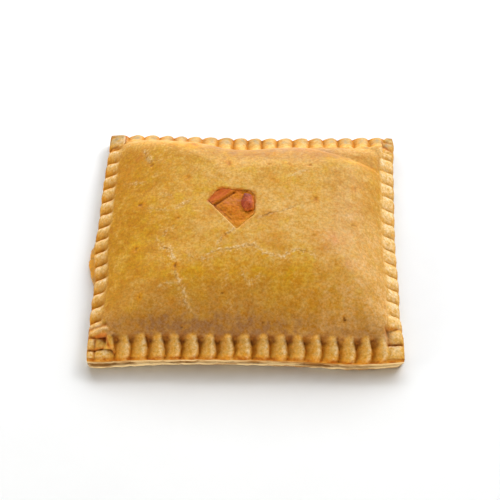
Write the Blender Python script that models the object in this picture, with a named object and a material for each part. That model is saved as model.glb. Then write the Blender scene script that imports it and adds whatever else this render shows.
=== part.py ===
"""Chicken empanada: a baked, nearly square pie of two sheets of dough, crimped all round.

The dough is laid out flat first, in a rectangle with p to the right and q away from the
viewer, and every height is a function of p and q. The rim is a frame of grid cells whose
lines follow the crimps, and the dome is a loft of rings from that frame to the slashed vent.
+X runs along the longer side, +Y away from the viewer and +Z up; the base is at Z = 0.
"""

import math

import bmesh
import bpy
import numpy as np
from mathutils import Matrix, Vector

MM = 0.001

# Plan of the dough, before its edges bow.
WIDTH = 125.0 * MM
DEPTH = 113.0 * MM
PLAN_SHIFT_X = 1.09 * MM
PLAN_SHIFT_Y = 0.06 * MM
CORNER_PULL = 0.75 * MM
CORNER_REACH = 1.7 * MM

# Heights, from the surface that the pie stands on.
BASE_THICK = 1.6 * MM
GAP = 0.3 * MM
FILL_GAP = 0.36 * MM
EDGE_TOP = 3.7 * MM
RIM_RISE = 5.7 * MM
DOME_RISE = 13.3 * MM
CRUST_THICK = 2.6 * MM
EDGE_LIFT = 0.9 * MM
LIFT_PLACE = -10.0 * MM
LIFT_SPREAD = 30.0 * MM
LIFT_REACH = 7.0 * MM

# The grooves are deepest between the lip's step and the foot of the dome, where they fade out.
STEP_HALF = 0.4 * MM
GROOVE_FADE_IN = 1.7 * MM
GROOVE_FADE_OUT = 1.1 * MM
RIDGE_ROUNDNESS = 0.52
DOME_FULLNESS = 2.2
DOME_HIPS = 4.0
DOME_WALL = 0.9
DOME_LAP = 0.3 * MM

# One crimped side each: the first groove and the pitch along the side, a slow drift of the
# grooves, the stretch that is crimped, where a ridge is highest between its two grooves, how
# far in the crimp reaches, how hollow its slope is, the lip outside the ridges' ends, the step
# at those ends, how much the edge is scalloped, how deep the grooves are, and the width of the
# dome's shoulder.
SIDES = {
    "front": {
        "first": -51.9 * MM, "pitch": 6.73 * MM, "drift": 0.75 * MM, "drift_length": 112 * MM,
        "drift_place": -3 * MM, "start": -61.0 * MM, "end": 57.5 * MM, "crest": 0.62,
        "reach": 7.7 * MM, "hollow": 0.35, "lip": 0.95 * MM, "step": 1.6 * MM,
        "scallop": 0.25 * MM, "deep": 2.5 * MM, "shoulder": 43 * MM,
    },
    "back": {
        "first": -53.9 * MM, "pitch": 6.6 * MM, "drift": 0.32 * MM, "drift_length": 33 * MM,
        "drift_place": -49 * MM, "start": -57.0 * MM, "end": 60.0 * MM, "crest": 0.6,
        "reach": 6.4 * MM, "hollow": 0.2, "lip": 0.45 * MM, "step": 1.6 * MM,
        "scallop": 0.75 * MM, "deep": 2.4 * MM, "shoulder": 22 * MM,
    },
    "left": {
        "first": -47.3 * MM, "pitch": 6.69 * MM, "drift": 0.4 * MM, "drift_length": 70 * MM,
        "drift_place": -38 * MM, "start": -58.0 * MM, "end": 50.0 * MM, "crest": 0.62,
        "reach": 6.0 * MM, "hollow": 0.45, "lip": 0.6 * MM, "step": 1.6 * MM,
        "scallop": 0.45 * MM, "deep": 2.5 * MM, "shoulder": 50 * MM,
    },
    "right": {
        "first": -51.1 * MM, "pitch": 6.66 * MM, "drift": 0.7 * MM, "drift_length": 80 * MM,
        "drift_place": 16 * MM, "start": -54.0 * MM, "end": 51.5 * MM, "crest": 0.6,
        "reach": 6.0 * MM, "hollow": 0.3, "lip": 0.6 * MM, "step": 1.6 * MM,
        "scallop": 0.45 * MM, "deep": 2.5 * MM, "shoulder": 28 * MM,
    },
}

# Each edge bows out (+) or in (-) by soft bumps: place along the side, spread, height.
EDGE_BUMPS = {
    "front": (
        (-60 * MM, 14 * MM, 0.8 * MM),
        (-8 * MM, 22 * MM, -0.5 * MM),
        (42 * MM, 11 * MM, 0.9 * MM),
        (64 * MM, 6 * MM, -1.8 * MM),
    ),
    "back": (
        (-48 * MM, 16 * MM, 0.5 * MM),
        (5 * MM, 24 * MM, -0.7 * MM),
        (53 * MM, 9 * MM, 0.4 * MM),
    ),
    "left": (
        (-21 * MM, 7 * MM, -0.6 * MM),
        (-4 * MM, 9 * MM, 1.0 * MM),
        (56 * MM, 22 * MM, -1.7 * MM),
    ),
    "right": (
        (-34 * MM, 6 * MM, -0.7 * MM),
        (-2 * MM, 30 * MM, -1.2 * MM),
        (52 * MM, 7 * MM, 0.7 * MM),
    ),
}
BOW_FADE = 3

# The bottom sheet shows past the top one at the middle of the left side. It stands on a flat
# rectangle a little in from its edge, whose sides curve in slightly, and its edge curls up.
BASE_PEEK = (-10 * MM, 10 * MM, 2.1 * MM)
FOOT_INSET = 4.0 * MM
FOOT_HOLLOW = 0.3 * MM
EDGE_CURL = 0.2 * MM

# Along the back the dome starts further in at some places: place, spread, depth. Its top has soft
# swells and hollows: p, q, spread, height.
BACK_SETBACKS = (
    (-5 * MM, 12 * MM, 2.0 * MM),
    (8 * MM, 34 * MM, 3.4 * MM),
    (50 * MM, 16 * MM, 1.9 * MM),
)
SWELLS = (
    (-40 * MM, 34 * MM, 17 * MM, 1.0 * MM),
    (34 * MM, -28 * MM, 20 * MM, 0.6 * MM),
    (-22 * MM, -14 * MM, 16 * MM, -0.7 * MM),
    (12 * MM, -4 * MM, 18 * MM, 0.5 * MM),
)

# Behind on the right the dome is cut back to a low facet: where the cut starts, measured from the
# middle and in from the back, how far it turns in for each step to the right, and its size.
FACET_PLACE = 22.0 * MM
FACET_INSET = 9.0 * MM
FACET_TURN = 0.44
FACET_WIDTH = 15.0 * MM
FACET_DEPTH = 0.78

# The vent's outline: each corner's p and q, and the radius that rounds it.
VENT_CORNERS = (
    (-16.1 * MM, 8.6 * MM, 0.6 * MM),
    (-4.0 * MM, -5.9 * MM, 0.6 * MM),
    (3.1 * MM, 1.7 * MM, 2.6 * MM),
    (3.1 * MM, 12.8 * MM, 3.4 * MM),
    (-12.2 * MM, 15.2 * MM, 4.2 * MM),
)
VENT_FLOOR = 1.1 * MM
CORNER_STEPS = 4

# The browned chunk of filling that stands in the vent, with its size along p, q and up. Its lumps
# are waves, as their height and how many times they turn across the chunk along p, q and up.
CHUNK_PLACE = (0.3 * MM, 7.6 * MM)
CHUNK_SIZE = (5.2 * MM, 9.2 * MM, 3.6 * MM)
CHUNK_LEAN = math.radians(8)
CHUNK_STAND = 1.3 * MM
CHUNK_LUMPS = (
    (0.06, 1.4, 0.9, 0.5),
    (0.05, -0.6, 1.8, -0.7),
    (0.04, 0.3, 2.6, 1.1),
)

# Mesh fineness: rim lines in from the long and from the short sides, samples of one ridge, and the
# rings of the dome, of the cavity under it and of the filling's floor in the vent.
LONG_LINES = (0.0, 0.5 * MM, 1.3 * MM, 2.2 * MM, 3.9 * MM, 5.9 * MM, 7.7 * MM)
SHORT_LINES = (0.0, 0.4 * MM, 1.1 * MM, 1.9 * MM, 3.4 * MM, 5.0 * MM, 6.3 * MM)
RIDGE_SAMPLES = (0.0, 0.2, 0.55, 0.82)
LINE_ROOM = 0.5 * MM
LINE_SEARCH = 2001
TURNS = 96
BASE_TURNS = 128
LEAST_SQUARENESS = 6.5
MOST_SQUARENESS = 30.0
SQUARENESS_REACH = 5.0 * MM
BASE_SQUARENESS = 60.0
DOME_START = 9.0 * MM
DOME_INSETS = (10.3 * MM, 12.0 * MM, 14.2 * MM, 17.0 * MM, 20.5 * MM, 25.0 * MM)
VENT_BLENDS = (0.18, 0.36, 0.54, 0.72, 0.88, 0.96, 1.0)
CAVITY_START = 7.6 * MM
CAVITY_RAMP = 3.2 * MM
CAVITY_INSETS = (8.4 * MM, 9.6 * MM, 11.4 * MM, 15.0 * MM, 21.0 * MM)
CAVITY_BLENDS = (0.3, 0.6, 0.85)
FLOOR_SHARES = (1.0, 0.6, 0.2)
BASE_EDGE = 0.4 * MM
SMOOTH_ANGLE = math.radians(50)
TINY = 1e-9
TOP, CEILING, SEAM = 0, 1, 2


def clear_scene():
    for obj in list(bpy.data.objects):
        bpy.data.objects.remove(obj, do_unlink=True)


def smooth_step(low, high, value):
    t = np.clip((value - low) / (high - low), 0.0, 1.0)
    return t * t * (3.0 - 2.0 * t)


def bump(value, place, spread):
    return np.exp(-(((value - place) / spread) ** 2))


def from_edges(p, q):
    """The distance in from each of the four edges of the flat dough."""
    return {
        "left": WIDTH / 2 + p,
        "right": WIDTH / 2 - p,
        "front": DEPTH / 2 + q,
        "back": DEPTH / 2 - q,
    }


def along(side, p, q):
    return p if side in ("front", "back") else q


def groove_count(side, c):
    """How many pitches c lies past the side's first groove; whole numbers are grooves."""
    made = SIDES[side]
    turn = 2 * math.pi * (c - made["drift_place"]) / made["drift_length"]
    return (c - made["first"] - made["drift"] * np.sin(turn)) / made["pitch"]


def ridge(side, c):
    """1 on a ridge's crest and 0 in a groove, leaning so that one flank is steeper."""
    made = SIDES[side]
    phase = np.mod(groove_count(side, c), 1.0)
    lean = math.log(0.5) / math.log(made["crest"])
    shape = np.abs(np.sin(math.pi * phase**lean)) ** RIDGE_ROUNDNESS
    inside = smooth_step(made["start"] - MM, made["start"] + MM, c)
    inside = inside * (1 - smooth_step(made["end"] - MM, made["end"] + MM, c))
    return 1 - (1 - shape) * inside


def crimp_reach(side, c):
    """How far in the crimp reaches: further where the dome stands back."""
    reach = SIDES[side]["reach"]
    if side == "back":
        reach = reach + sum(depth * bump(c, place, spread) for place, spread, depth in BACK_SETBACKS)
    return reach


def past_lip(side, s):
    """0 on the lip outside the ridges' ends, and 1 inside them."""
    lip = SIDES[side]["lip"]
    return smooth_step(lip - STEP_HALF, lip + STEP_HALF, s)


def groove(p, q):
    """Depth of the crimps below the uncrimped surface."""
    depth = 0.0
    for side, s in from_edges(p, q).items():
        c = along(side, p, q)
        reach = crimp_reach(side, c)
        fade = 1 - smooth_step(reach - GROOVE_FADE_IN, reach + GROOVE_FADE_OUT, s)
        depth = np.maximum(depth, SIDES[side]["deep"] * past_lip(side, s) * fade * (1 - ridge(side, c)))
    return depth


def edge_lift(p, q):
    """The rim stands a little off the surface along the middle of the front."""
    s = from_edges(p, q)["front"]
    return EDGE_LIFT * bump(p, LIFT_PLACE, LIFT_SPREAD) * (1 - smooth_step(0.0, LIFT_REACH, s))


def rim_height(p, q):
    """The uncrimped rim: a lip, the step at the ridges' ends, and a hollow slope up to the dome."""
    height = RIM_RISE
    for side, s in from_edges(p, q).items():
        made = SIDES[side]
        t = np.clip(s / crimp_reach(side, along(side, p, q)), 0.0, 1.0)
        slope = (1 - made["hollow"]) * t + made["hollow"] * t * t
        rise = made["step"] * past_lip(side, s) + (RIM_RISE - made["step"]) * slope
        height = np.minimum(height, rise)
    return EDGE_TOP + height


def facet_short(p, q):
    """How much of the dome's rise is missing over the facet behind on the right."""
    inset = from_edges(p, q)["back"] - FACET_INSET - FACET_TURN * (p - FACET_PLACE)
    t = np.clip(inset / math.hypot(1.0, FACET_TURN) / FACET_WIDTH, 0.0, 1.0)
    return FACET_DEPTH * (1 - t) ** DOME_FULLNESS


def dome_share(p, q):
    """0 on the rim, then rising to 1 where the shoulders of all four sides end, with soft hips."""
    short = facet_short(p, q) ** DOME_HIPS
    for side, s in from_edges(p, q).items():
        start = crimp_reach(side, along(side, p, q)) - DOME_LAP
        t = np.clip((s - start) / SIDES[side]["shoulder"], 0.0, 1.0)
        short = short + (1 - t) ** (DOME_FULLNESS * DOME_HIPS)
    return np.clip(1 - short ** (1 / DOME_HIPS), 0.0, 1.0) ** DOME_WALL


def uncrimped_height(p, q):
    swell = DOME_RISE
    for place_p, place_q, spread, height in SWELLS:
        swell = swell + height * bump(p, place_p, spread) * bump(q, place_q, spread)
    return rim_height(p, q) + swell * dome_share(p, q) + edge_lift(p, q)


def top_height(p, q):
    return uncrimped_height(p, q) - groove(p, q)


def ceiling_height(p, q):
    """Underside of the crust's dome, which drops to the seam at the cavity's edge."""
    nearest = np.minimum.reduce(list(from_edges(p, q).values()))
    floor = BASE_THICK + GAP
    under = np.maximum(uncrimped_height(p, q) - CRUST_THICK, floor)
    return floor + (under - floor) * smooth_step(CAVITY_START, CAVITY_START + CAVITY_RAMP, nearest)


def edge_bow(side, p, q):
    """How far one edge stands out of the flat dough's rectangle, scallops included."""
    c = along(side, p, q)
    bow = SIDES[side]["scallop"] * (ridge(side, c) - 0.5)
    for place, spread, height in EDGE_BUMPS[side]:
        bow = bow + height * bump(c, place, spread)
    return bow


def plan_point(p, q, peek=0.0):
    """Where a point of the flat dough lies once the edges have bowed."""
    left_bow = edge_bow("left", p, q) + peek * bump(q, BASE_PEEK[0], BASE_PEEK[1])
    to_right = np.clip(0.5 + p / WIDTH, 0.0, 1.0)
    to_back = np.clip(0.5 + q / DEPTH, 0.0, 1.0)
    x = p + edge_bow("right", p, q) * to_right**BOW_FADE - left_bow * (1 - to_right) ** BOW_FADE
    y = q + edge_bow("back", p, q) * to_back**BOW_FADE
    y = y - edge_bow("front", p, q) * (1 - to_back) ** BOW_FADE
    near_p = WIDTH / 2 - abs(p)
    near_q = DEPTH / 2 - abs(q)
    pull = CORNER_PULL * np.exp(-(near_p + near_q) / CORNER_REACH)
    x = x - pull * np.sign(p)
    y = y - pull * np.sign(q)
    return x + PLAN_SHIFT_X, y + PLAN_SHIFT_Y


def sample_places(side, inner):
    """Places along one side where its ridges are sampled, between the rims at its two ends."""
    c = np.linspace(-inner, inner, LINE_SEARCH)
    counts = groove_count(side, c)
    whole = range(math.floor(counts[0]), math.ceil(counts[-1]))
    wanted = [k + sample for k in whole for sample in RIDGE_SAMPLES]
    wanted = [count for count in wanted if counts[0] < count < counts[-1]]
    return list(np.interp(wanted, counts, c))


def grid_lines(half, rim_lines, sides):
    """The grid's lines along each of two opposite sides: both rims, and the samples of the ridges."""
    places = [sample_places(side, half - rim_lines[-1] - LINE_ROOM) for side in sides]
    fewest = min(len(found) for found in places)
    rim = [half - s for s in rim_lines]
    return [[-c for c in rim] + found[:fewest] + rim[::-1] for found in places]


def square_turn(turn, turns, inset, squareness=None):
    """A point of a rectangular ring, inset from the dough's edge, with softer corners further in."""
    if squareness is None:
        softening = math.exp(-(inset - CAVITY_START) / SQUARENESS_REACH)
        squareness = LEAST_SQUARENESS + (MOST_SQUARENESS - LEAST_SQUARENESS) * softening
    angle = 2 * math.pi * turn / turns
    c, s = math.cos(angle), math.sin(angle)
    reach = (abs(c) ** squareness + abs(s) ** squareness) ** (-1 / squareness)
    return np.array([(WIDTH / 2 - inset) * reach * c, (DEPTH / 2 - inset) * reach * s])


def vent_outline():
    """The vent's corners joined by straight cuts, each corner rounded by an arc."""
    corners = [np.array(corner[:2]) for corner in VENT_CORNERS]
    points = []
    for index, corner in enumerate(corners):
        radius = VENT_CORNERS[index][2]
        before = corners[index - 1] - corner
        after = corners[(index + 1) % len(corners)] - corner
        before /= np.linalg.norm(before)
        after /= np.linalg.norm(after)
        half = math.acos(float(np.clip(before @ after, -1, 1))) / 2
        middle = corner + (before + after) / np.linalg.norm(before + after) * radius / math.sin(half)
        start = corner + before * radius / math.tan(half) - middle
        end = corner + after * radius / math.tan(half) - middle
        for step in range(CORNER_STEPS + 1):
            t = step / CORNER_STEPS
            spoke = start * (1 - t) + end * t
            points.append(middle + spoke / np.linalg.norm(spoke) * radius)
    return points


VENT_POINTS = vent_outline()
VENT_CENTRE = sum(VENT_POINTS) / len(VENT_POINTS)


def vent_turn(turn, turns, inset=0.0):
    """The vent's outline seen from its centre, in the direction of one turn of a ring."""
    angle = 2 * math.pi * turn / turns
    way = np.array([math.cos(angle), math.sin(angle)])
    for a, b in zip(VENT_POINTS, VENT_POINTS[1:] + VENT_POINTS[:1]):
        edge = b - a
        cross = way[0] * edge[1] - way[1] * edge[0]
        if abs(cross) < TINY * MM:
            continue
        offset = a - VENT_CENTRE
        reach = (offset[0] * edge[1] - offset[1] * edge[0]) / cross
        share = (offset[0] * way[1] - offset[1] * way[0]) / cross
        if reach > 0 and -TINY <= share <= 1 + TINY:
            return VENT_CENTRE + way * (reach - inset)
    return VENT_CENTRE


def loft_point(turn, turns, inset, blend, vent_inset=0.0):
    outer = square_turn(turn, turns, inset)
    return outer * (1 - blend) + vent_turn(turn, turns, vent_inset) * blend


def set_ring(verts, layers, level, place):
    """Moves a ring's verts; place gives p and q for a turn number."""
    for vert in verts:
        vert.co.xy = place(vert[layers["turn"]])
        vert[layers["level"]] = level


def first_ring(bm, layers, turns):
    verts = bmesh.ops.create_circle(bm, segments=turns, radius=1.0)["verts"]
    for vert in verts:
        angle = math.atan2(vert.co.y, vert.co.x) % (2 * math.pi)
        vert[layers["turn"]] = round(angle * turns / (2 * math.pi)) % turns
    return verts, list({edge for vert in verts for edge in vert.link_edges})


def next_ring(bm, edges):
    made = bmesh.ops.extrude_edge_only(bm, edges=edges)["geom"]
    verts = {item for item in made if isinstance(item, bmesh.types.BMVert)}
    ring = {edge for vert in verts for edge in vert.link_edges if set(edge.verts) <= verts}
    return list(verts), list(ring)


def fill_between(bm, edges):
    """Fills the flat band between two nested loops of the laid-out dough."""
    bmesh.ops.triangle_fill(bm, edges=edges, use_beauty=True, use_dissolve=False, normal=(0, 0, 1))


def new_layers(bm):
    return {"turn": bm.verts.layers.int.new("turn"), "level": bm.verts.layers.int.new("level")}


def finish_object(bm, name, material):
    """Closes the bmesh into an object with outward faces and smooth shading."""
    bmesh.ops.recalc_face_normals(bm, faces=bm.faces[:])
    mesh = bpy.data.meshes.new(name)
    bm.to_mesh(mesh)
    bm.free()
    mesh.shade_smooth()
    mesh.set_sharp_from_angle(angle=SMOOTH_ANGLE)
    mesh.materials.append(material)
    obj = bpy.data.objects.new(name, mesh)
    bpy.context.scene.collection.objects.link(obj)
    return obj


def new_material(name, color, roughness):
    material = bpy.data.materials.new(name)
    material.use_nodes = True
    shader = material.node_tree.nodes["Principled BSDF"]
    shader.inputs["Base Color"].default_value = (*color, 1.0)
    shader.inputs["Roughness"].default_value = roughness
    shader.inputs["Metallic"].default_value = 0.0
    return material


def add_rim_frame(bm, layers):
    """The crimped rim: a grid with its lines on the grooves, without the cells inside it."""
    front, back = grid_lines(WIDTH / 2, SHORT_LINES, ("front", "back"))
    left, right = grid_lines(DEPTH / 2, LONG_LINES, ("left", "right"))
    columns, rows = len(front) - 1, len(left) - 1
    verts = bmesh.ops.create_grid(bm, x_segments=columns, y_segments=rows, size=0.5)["verts"]
    for vert in verts:
        i = round((vert.co.x + 0.5) * columns)
        j = round((vert.co.y + 0.5) * rows)
        vert.co.x = front[i] if j < rows / 2 else back[i]
        vert.co.y = left[j] if i < columns / 2 else right[j]
        vert[layers["level"]] = TOP
    inside = []
    for face in bm.faces:
        middle = face.calc_center_median()
        if abs(middle.x) < WIDTH / 2 - SHORT_LINES[-1] and abs(middle.y) < DEPTH / 2 - LONG_LINES[-1]:
            inside.append(face)
    bmesh.ops.delete(bm, geom=inside, context="FACES")
    boundary = [edge for edge in bm.edges if edge.is_boundary]
    outer = []
    inner = []
    for edge in boundary:
        middle = (edge.verts[0].co + edge.verts[1].co) / 2
        near = min(WIDTH / 2 - abs(middle.x), DEPTH / 2 - abs(middle.y))
        (outer if near < SHORT_LINES[-1] / 2 else inner).append(edge)
    return outer, inner


def build_top_sheet(material):
    bm = bmesh.new()
    layers = new_layers(bm)
    outer, inner = add_rim_frame(bm, layers)
    verts, edges = first_ring(bm, layers, TURNS)
    set_ring(verts, layers, TOP, lambda turn: square_turn(turn, TURNS, DOME_START))
    fill_between(bm, inner + edges)
    for inset in DOME_INSETS:
        verts, edges = next_ring(bm, edges)
        set_ring(verts, layers, TOP, lambda turn: square_turn(turn, TURNS, inset))
    for blend in VENT_BLENDS:
        verts, edges = next_ring(bm, edges)
        set_ring(verts, layers, TOP, lambda turn: loft_point(turn, TURNS, DOME_INSETS[-1], blend))
    verts, edges = next_ring(bm, edges)
    set_ring(verts, layers, CEILING, lambda turn: vent_turn(turn, TURNS))
    for blend in reversed(CAVITY_BLENDS):
        verts, edges = next_ring(bm, edges)
        set_ring(verts, layers, CEILING, lambda turn: loft_point(turn, TURNS, CAVITY_INSETS[-1], blend))
    for inset in reversed(CAVITY_INSETS):
        verts, edges = next_ring(bm, edges)
        set_ring(verts, layers, CEILING, lambda turn: square_turn(turn, TURNS, inset))
    verts, edges = next_ring(bm, edges)
    set_ring(verts, layers, SEAM, lambda turn: square_turn(turn, TURNS, CAVITY_START))
    seam_verts, seam_edges = next_ring(bm, outer)
    for vert in seam_verts:
        vert[layers["level"]] = SEAM
    fill_between(bm, seam_edges + edges)
    heights = {TOP: top_height, CEILING: ceiling_height}
    for vert in bm.verts:
        p, q = vert.co.x, vert.co.y
        level = vert[layers["level"]]
        z = heights[level](p, q) if level in heights else BASE_THICK + GAP + edge_lift(p, q)
        vert.co = (*plan_point(p, q), z)
    return finish_object(bm, "top_sheet", material)


def base_turn(inset):
    """Points of the bottom sheet's ring at one inset, by turn number."""
    return lambda turn: square_turn(turn, BASE_TURNS, inset, BASE_SQUARENESS)


def foot_turn(turn):
    """A point of the flat rectangle that the bottom sheet stands on."""
    angle = 2 * math.pi * turn / BASE_TURNS
    c, s = math.cos(angle), math.sin(angle)
    reach = 1 / max(abs(c), abs(s))
    to_corner = min(abs(c), abs(s)) * reach
    inset = FOOT_INSET + FOOT_HOLLOW * (1 - to_corner**2)
    return (WIDTH / 2 - inset) * reach * c, (DEPTH / 2 - inset) * reach * s


def build_bottom_sheet(material):
    """A flat sheet under everything, with a rounded edge of its own."""
    rings = (
        (BASE_EDGE, EDGE_CURL),
        (0.0, EDGE_CURL + BASE_EDGE),
        (0.0, BASE_THICK - BASE_EDGE),
        (BASE_EDGE, BASE_THICK),
        (LIFT_REACH, BASE_THICK),
    )
    bm = bmesh.new()
    layers = new_layers(bm)
    verts, edges = first_ring(bm, layers, BASE_TURNS)
    set_ring(verts, layers, 0, foot_turn)
    bmesh.ops.edgenet_fill(bm, edges=edges)
    for level, (inset, z) in enumerate(rings, start=1):
        verts, edges = next_ring(bm, edges)
        set_ring(verts, layers, level, base_turn(inset))
    bmesh.ops.edgenet_fill(bm, edges=edges)
    heights = [0.0] + [z for inset, z in rings]
    for vert in bm.verts:
        p, q = vert.co.x, vert.co.y
        level = vert[layers["level"]]
        if level == 0:
            vert.co = (p + PLAN_SHIFT_X, q + PLAN_SHIFT_Y, 0.0)
        else:
            vert.co = (*plan_point(p, q, BASE_PEEK[2]), heights[level] + edge_lift(p, q))
    return finish_object(bm, "bottom_sheet", material)


def vent_floor_height(p, q):
    return top_height(p, q) - VENT_FLOOR


def place_fill_ring(verts, layers, inset, blend, height):
    """A ring of the filling: the crust's own ring moved in and down by the gap."""
    for vert in verts:
        turn = vert[layers["turn"]]
        under = loft_point(turn, TURNS, inset, blend)
        inside = loft_point(turn, TURNS, inset + FILL_GAP, blend, FILL_GAP)
        vert.co = (*inside, height(*under))


def build_filling(material):
    """The filling under the crust, standing up into the vent where it shows."""
    bm = bmesh.new()
    layers = new_layers(bm)
    verts, edges = first_ring(bm, layers, TURNS)
    place_fill_ring(verts, layers, CAVITY_START, 0.0, lambda p, q: BASE_THICK + GAP)
    bmesh.ops.edgenet_fill(bm, edges=edges)
    rings = [(inset, 0.0) for inset in CAVITY_INSETS]
    rings += [(CAVITY_INSETS[-1], blend) for blend in CAVITY_BLENDS + (1.0,)]
    for inset, blend in rings:
        verts, edges = next_ring(bm, edges)
        place_fill_ring(verts, layers, inset, blend, lambda p, q: ceiling_height(p, q) - FILL_GAP)
    for share in FLOOR_SHARES:
        verts, edges = next_ring(bm, edges)
        for vert in verts:
            edge = vent_turn(vert[layers["turn"]], TURNS, FILL_GAP)
            p, q = VENT_CENTRE + (edge - VENT_CENTRE) * share
            vert.co = (p, q, vent_floor_height(p, q))
    bmesh.ops.edgenet_fill(bm, edges=edges)
    for vert in bm.verts:
        vert.co.xy = plan_point(vert.co.x, vert.co.y)
    return finish_object(bm, "filling", material)


def build_chunk(material):
    """A lumpy browned piece of the filling, resting in the right of the vent."""
    bm = bmesh.new()
    bmesh.ops.create_icosphere(bm, subdivisions=3, radius=0.5)
    for vert in bm.verts:
        lump = 1.0
        for height, *turns in CHUNK_LUMPS:
            lump += height * math.sin(2 * math.pi * vert.co.dot(Vector(turns)))
        vert.co = vert.co * lump
    bmesh.ops.scale(bm, vec=CHUNK_SIZE, verts=bm.verts[:])
    bmesh.ops.rotate(bm, matrix=Matrix.Rotation(CHUNK_LEAN, 3, "Z"), verts=bm.verts[:])
    middle = top_height(*CHUNK_PLACE) + CHUNK_STAND - CHUNK_SIZE[2] / 2
    for vert in bm.verts:
        p = CHUNK_PLACE[0] + vert.co.x
        q = CHUNK_PLACE[1] + vert.co.y
        rest = vent_floor_height(p, q) + GAP
        vert.co = (*plan_point(p, q), max(middle + vert.co.z, rest))
    return finish_object(bm, "filling_chunk", material)


def build_empanada():
    crust = new_material("baked_crust", (0.58, 0.35, 0.085), 0.45)
    base = new_material("pale_dough", (0.60, 0.44, 0.22), 0.6)
    filling = new_material("orange_filling", (0.55, 0.18, 0.03), 0.4)
    chunk = new_material("browned_chunk", (0.36, 0.10, 0.05), 0.45)
    return [
        build_top_sheet(crust),
        build_bottom_sheet(base),
        build_filling(filling),
        build_chunk(chunk),
    ]


clear_scene()
build_empanada()
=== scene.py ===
import math

import bmesh
import bpy
import numpy as np
from mathutils import Matrix, Vector, noise


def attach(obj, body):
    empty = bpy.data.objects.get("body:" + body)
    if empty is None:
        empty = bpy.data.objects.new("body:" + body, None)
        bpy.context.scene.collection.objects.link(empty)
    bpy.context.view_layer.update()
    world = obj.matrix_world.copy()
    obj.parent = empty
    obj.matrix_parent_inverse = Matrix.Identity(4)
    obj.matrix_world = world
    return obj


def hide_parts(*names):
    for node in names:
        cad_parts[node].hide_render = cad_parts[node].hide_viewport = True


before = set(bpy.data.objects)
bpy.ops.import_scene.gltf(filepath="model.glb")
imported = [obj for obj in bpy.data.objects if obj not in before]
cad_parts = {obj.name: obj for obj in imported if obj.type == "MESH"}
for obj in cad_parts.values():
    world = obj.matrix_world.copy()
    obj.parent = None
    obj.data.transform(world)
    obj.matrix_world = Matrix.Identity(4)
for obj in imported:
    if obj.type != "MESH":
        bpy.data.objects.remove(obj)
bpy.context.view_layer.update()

mm = 0.001
farOff = 1e9
noiseGain = 1.6  # brings the noise to about -1 to 1
white = (1.0, 1.0, 1.0, 1.0)

# The flat dough's plan and heights in millimetres, shared by all pieces.
dough = {
    "width": 125.0,
    "depth": 113.0,
    "shift": (1.09, 0.06),
    "cornerPull": 0.3,
    "cornerReach": 1.7,
    "baseThick": 1.6,
    "gap": 0.3,
    "edgeTop": 3.9,
    "rimRise": 5.7,
    "domeRise": 13.1,
    "edgeLift": (0.9, -10.0, 30.0, 7.0),  # height, place, spread, reach
    "footRound": 1.5,
    "roundness": 0.52,
    "fullness": 2.2,
    "squareness": (6.5, 23.5, 5.0),  # of rings inside: the least, what is added at the wall, over how far
    "hips": 4.0,
    "wall": 0.9,
    "lap": 0.3,
    "bowFade": 3,
    "peek": (-10.0, 10.0, 2.1),  # place, spread and reach of the flap at the left
    # Where the crimps at the back reach farther in: place, spread, how far.
    "setbacks": ((-5.0, 12.0, 2.0), (8.0, 34.0, 3.4), (50.0, 16.0, 1.9)),
    # Where the dome swells or sinks: place, spread, height.
    "swells": (
        (-40.0, 34.0, 17.0, 1.0),
        (34.0, -28.0, 20.0, 0.6),
        (-22.0, -14.0, 16.0, -0.7),
        (12.0, -4.0, 18.0, 0.5),
    ),
    "facet": (22.0, 9.0, 0.44, 15.0, 0.78),  # place, inset, turn, width, depth
    "vent": (  # corners and the radius that rounds each
        (-16.1, 8.6, 0.6),
        (-4.0, -5.9, 0.6),
        (3.1, 1.7, 2.6),
        (3.1, 12.8, 3.4),
        (-12.2, 15.2, 4.2),
    ),
    "cornerSteps": 7,
    "cavity": (7.6, 3.2),  # how far in its wall lies, and over how far the ceiling rises
}
halfWidth, halfDepth = dough["width"] / 2, dough["depth"] / 2


# Each side: its first groove, the grooves' pitch and their drift (how far, over what length, from
# where), the crimped stretch, where the crest lies between two grooves, how far in the crimps reach,
# the rim's hollow, lip and step, how far the edge is scalloped, over how far the dome rises behind
# it, and how the edge bows out (place, spread, how far).
sides = {
    "front": {
        "first": -51.9, "pitch": 6.73, "drift": (0.75, 112.0, -3.0), "span": (-52.4, 55.6),
        "crest": 0.62, "reach": 7.7, "hollow": 0.35, "lip": 0.2, "step": 1.5, "scallop": 0.25,
        "shoulder": 43.0,
        "bumps": ((-60, 14, 0.8), (-8, 22, -0.15), (42, 11, 0.9), (64, 6, -0.6)),
    },
    "back": {
        "first": -53.9, "pitch": 6.6, "drift": (0.32, 33.0, -49.0), "span": (-55.6, 59.0),
        "crest": 0.6, "reach": 6.4, "hollow": 0.2, "lip": 0.3, "step": 1.4, "scallop": 0.75,
        "shoulder": 22.0,
        "bumps": ((-48, 16, 0.5), (5, 24, -0.7), (53, 9, 0.4)),
    },
    "left": {
        "first": -47.3, "pitch": 6.69, "drift": (0.4, 70.0, -38.0), "span": (-45.9, 49.5),
        "crest": 0.62, "reach": 6.0, "hollow": 0.45, "lip": 0.3, "step": 1.4, "scallop": 0.45,
        "shoulder": 50.0,
        "bumps": ((-21, 7, -0.6), (-4, 9, 1.0), (56, 22, -1.7)),
    },
    "right": {
        "first": -51.1, "pitch": 6.66, "drift": (0.7, 80.0, 16.0), "span": (-45.4, 51.0),
        "crest": 0.6, "reach": 6.0, "hollow": 0.3, "lip": 0.3, "step": 1.4, "scallop": 0.45,
        "shoulder": 28.0,
        "bumps": ((-34, 6, -0.7), (-2, 30, -1.2), (52, 7, 0.7)),
    },
}


def smoothStep(low, high, value):
    t = np.clip((value - low) / (high - low), 0.0, 1.0)
    return t * t * (3.0 - 2.0 * t)


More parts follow.
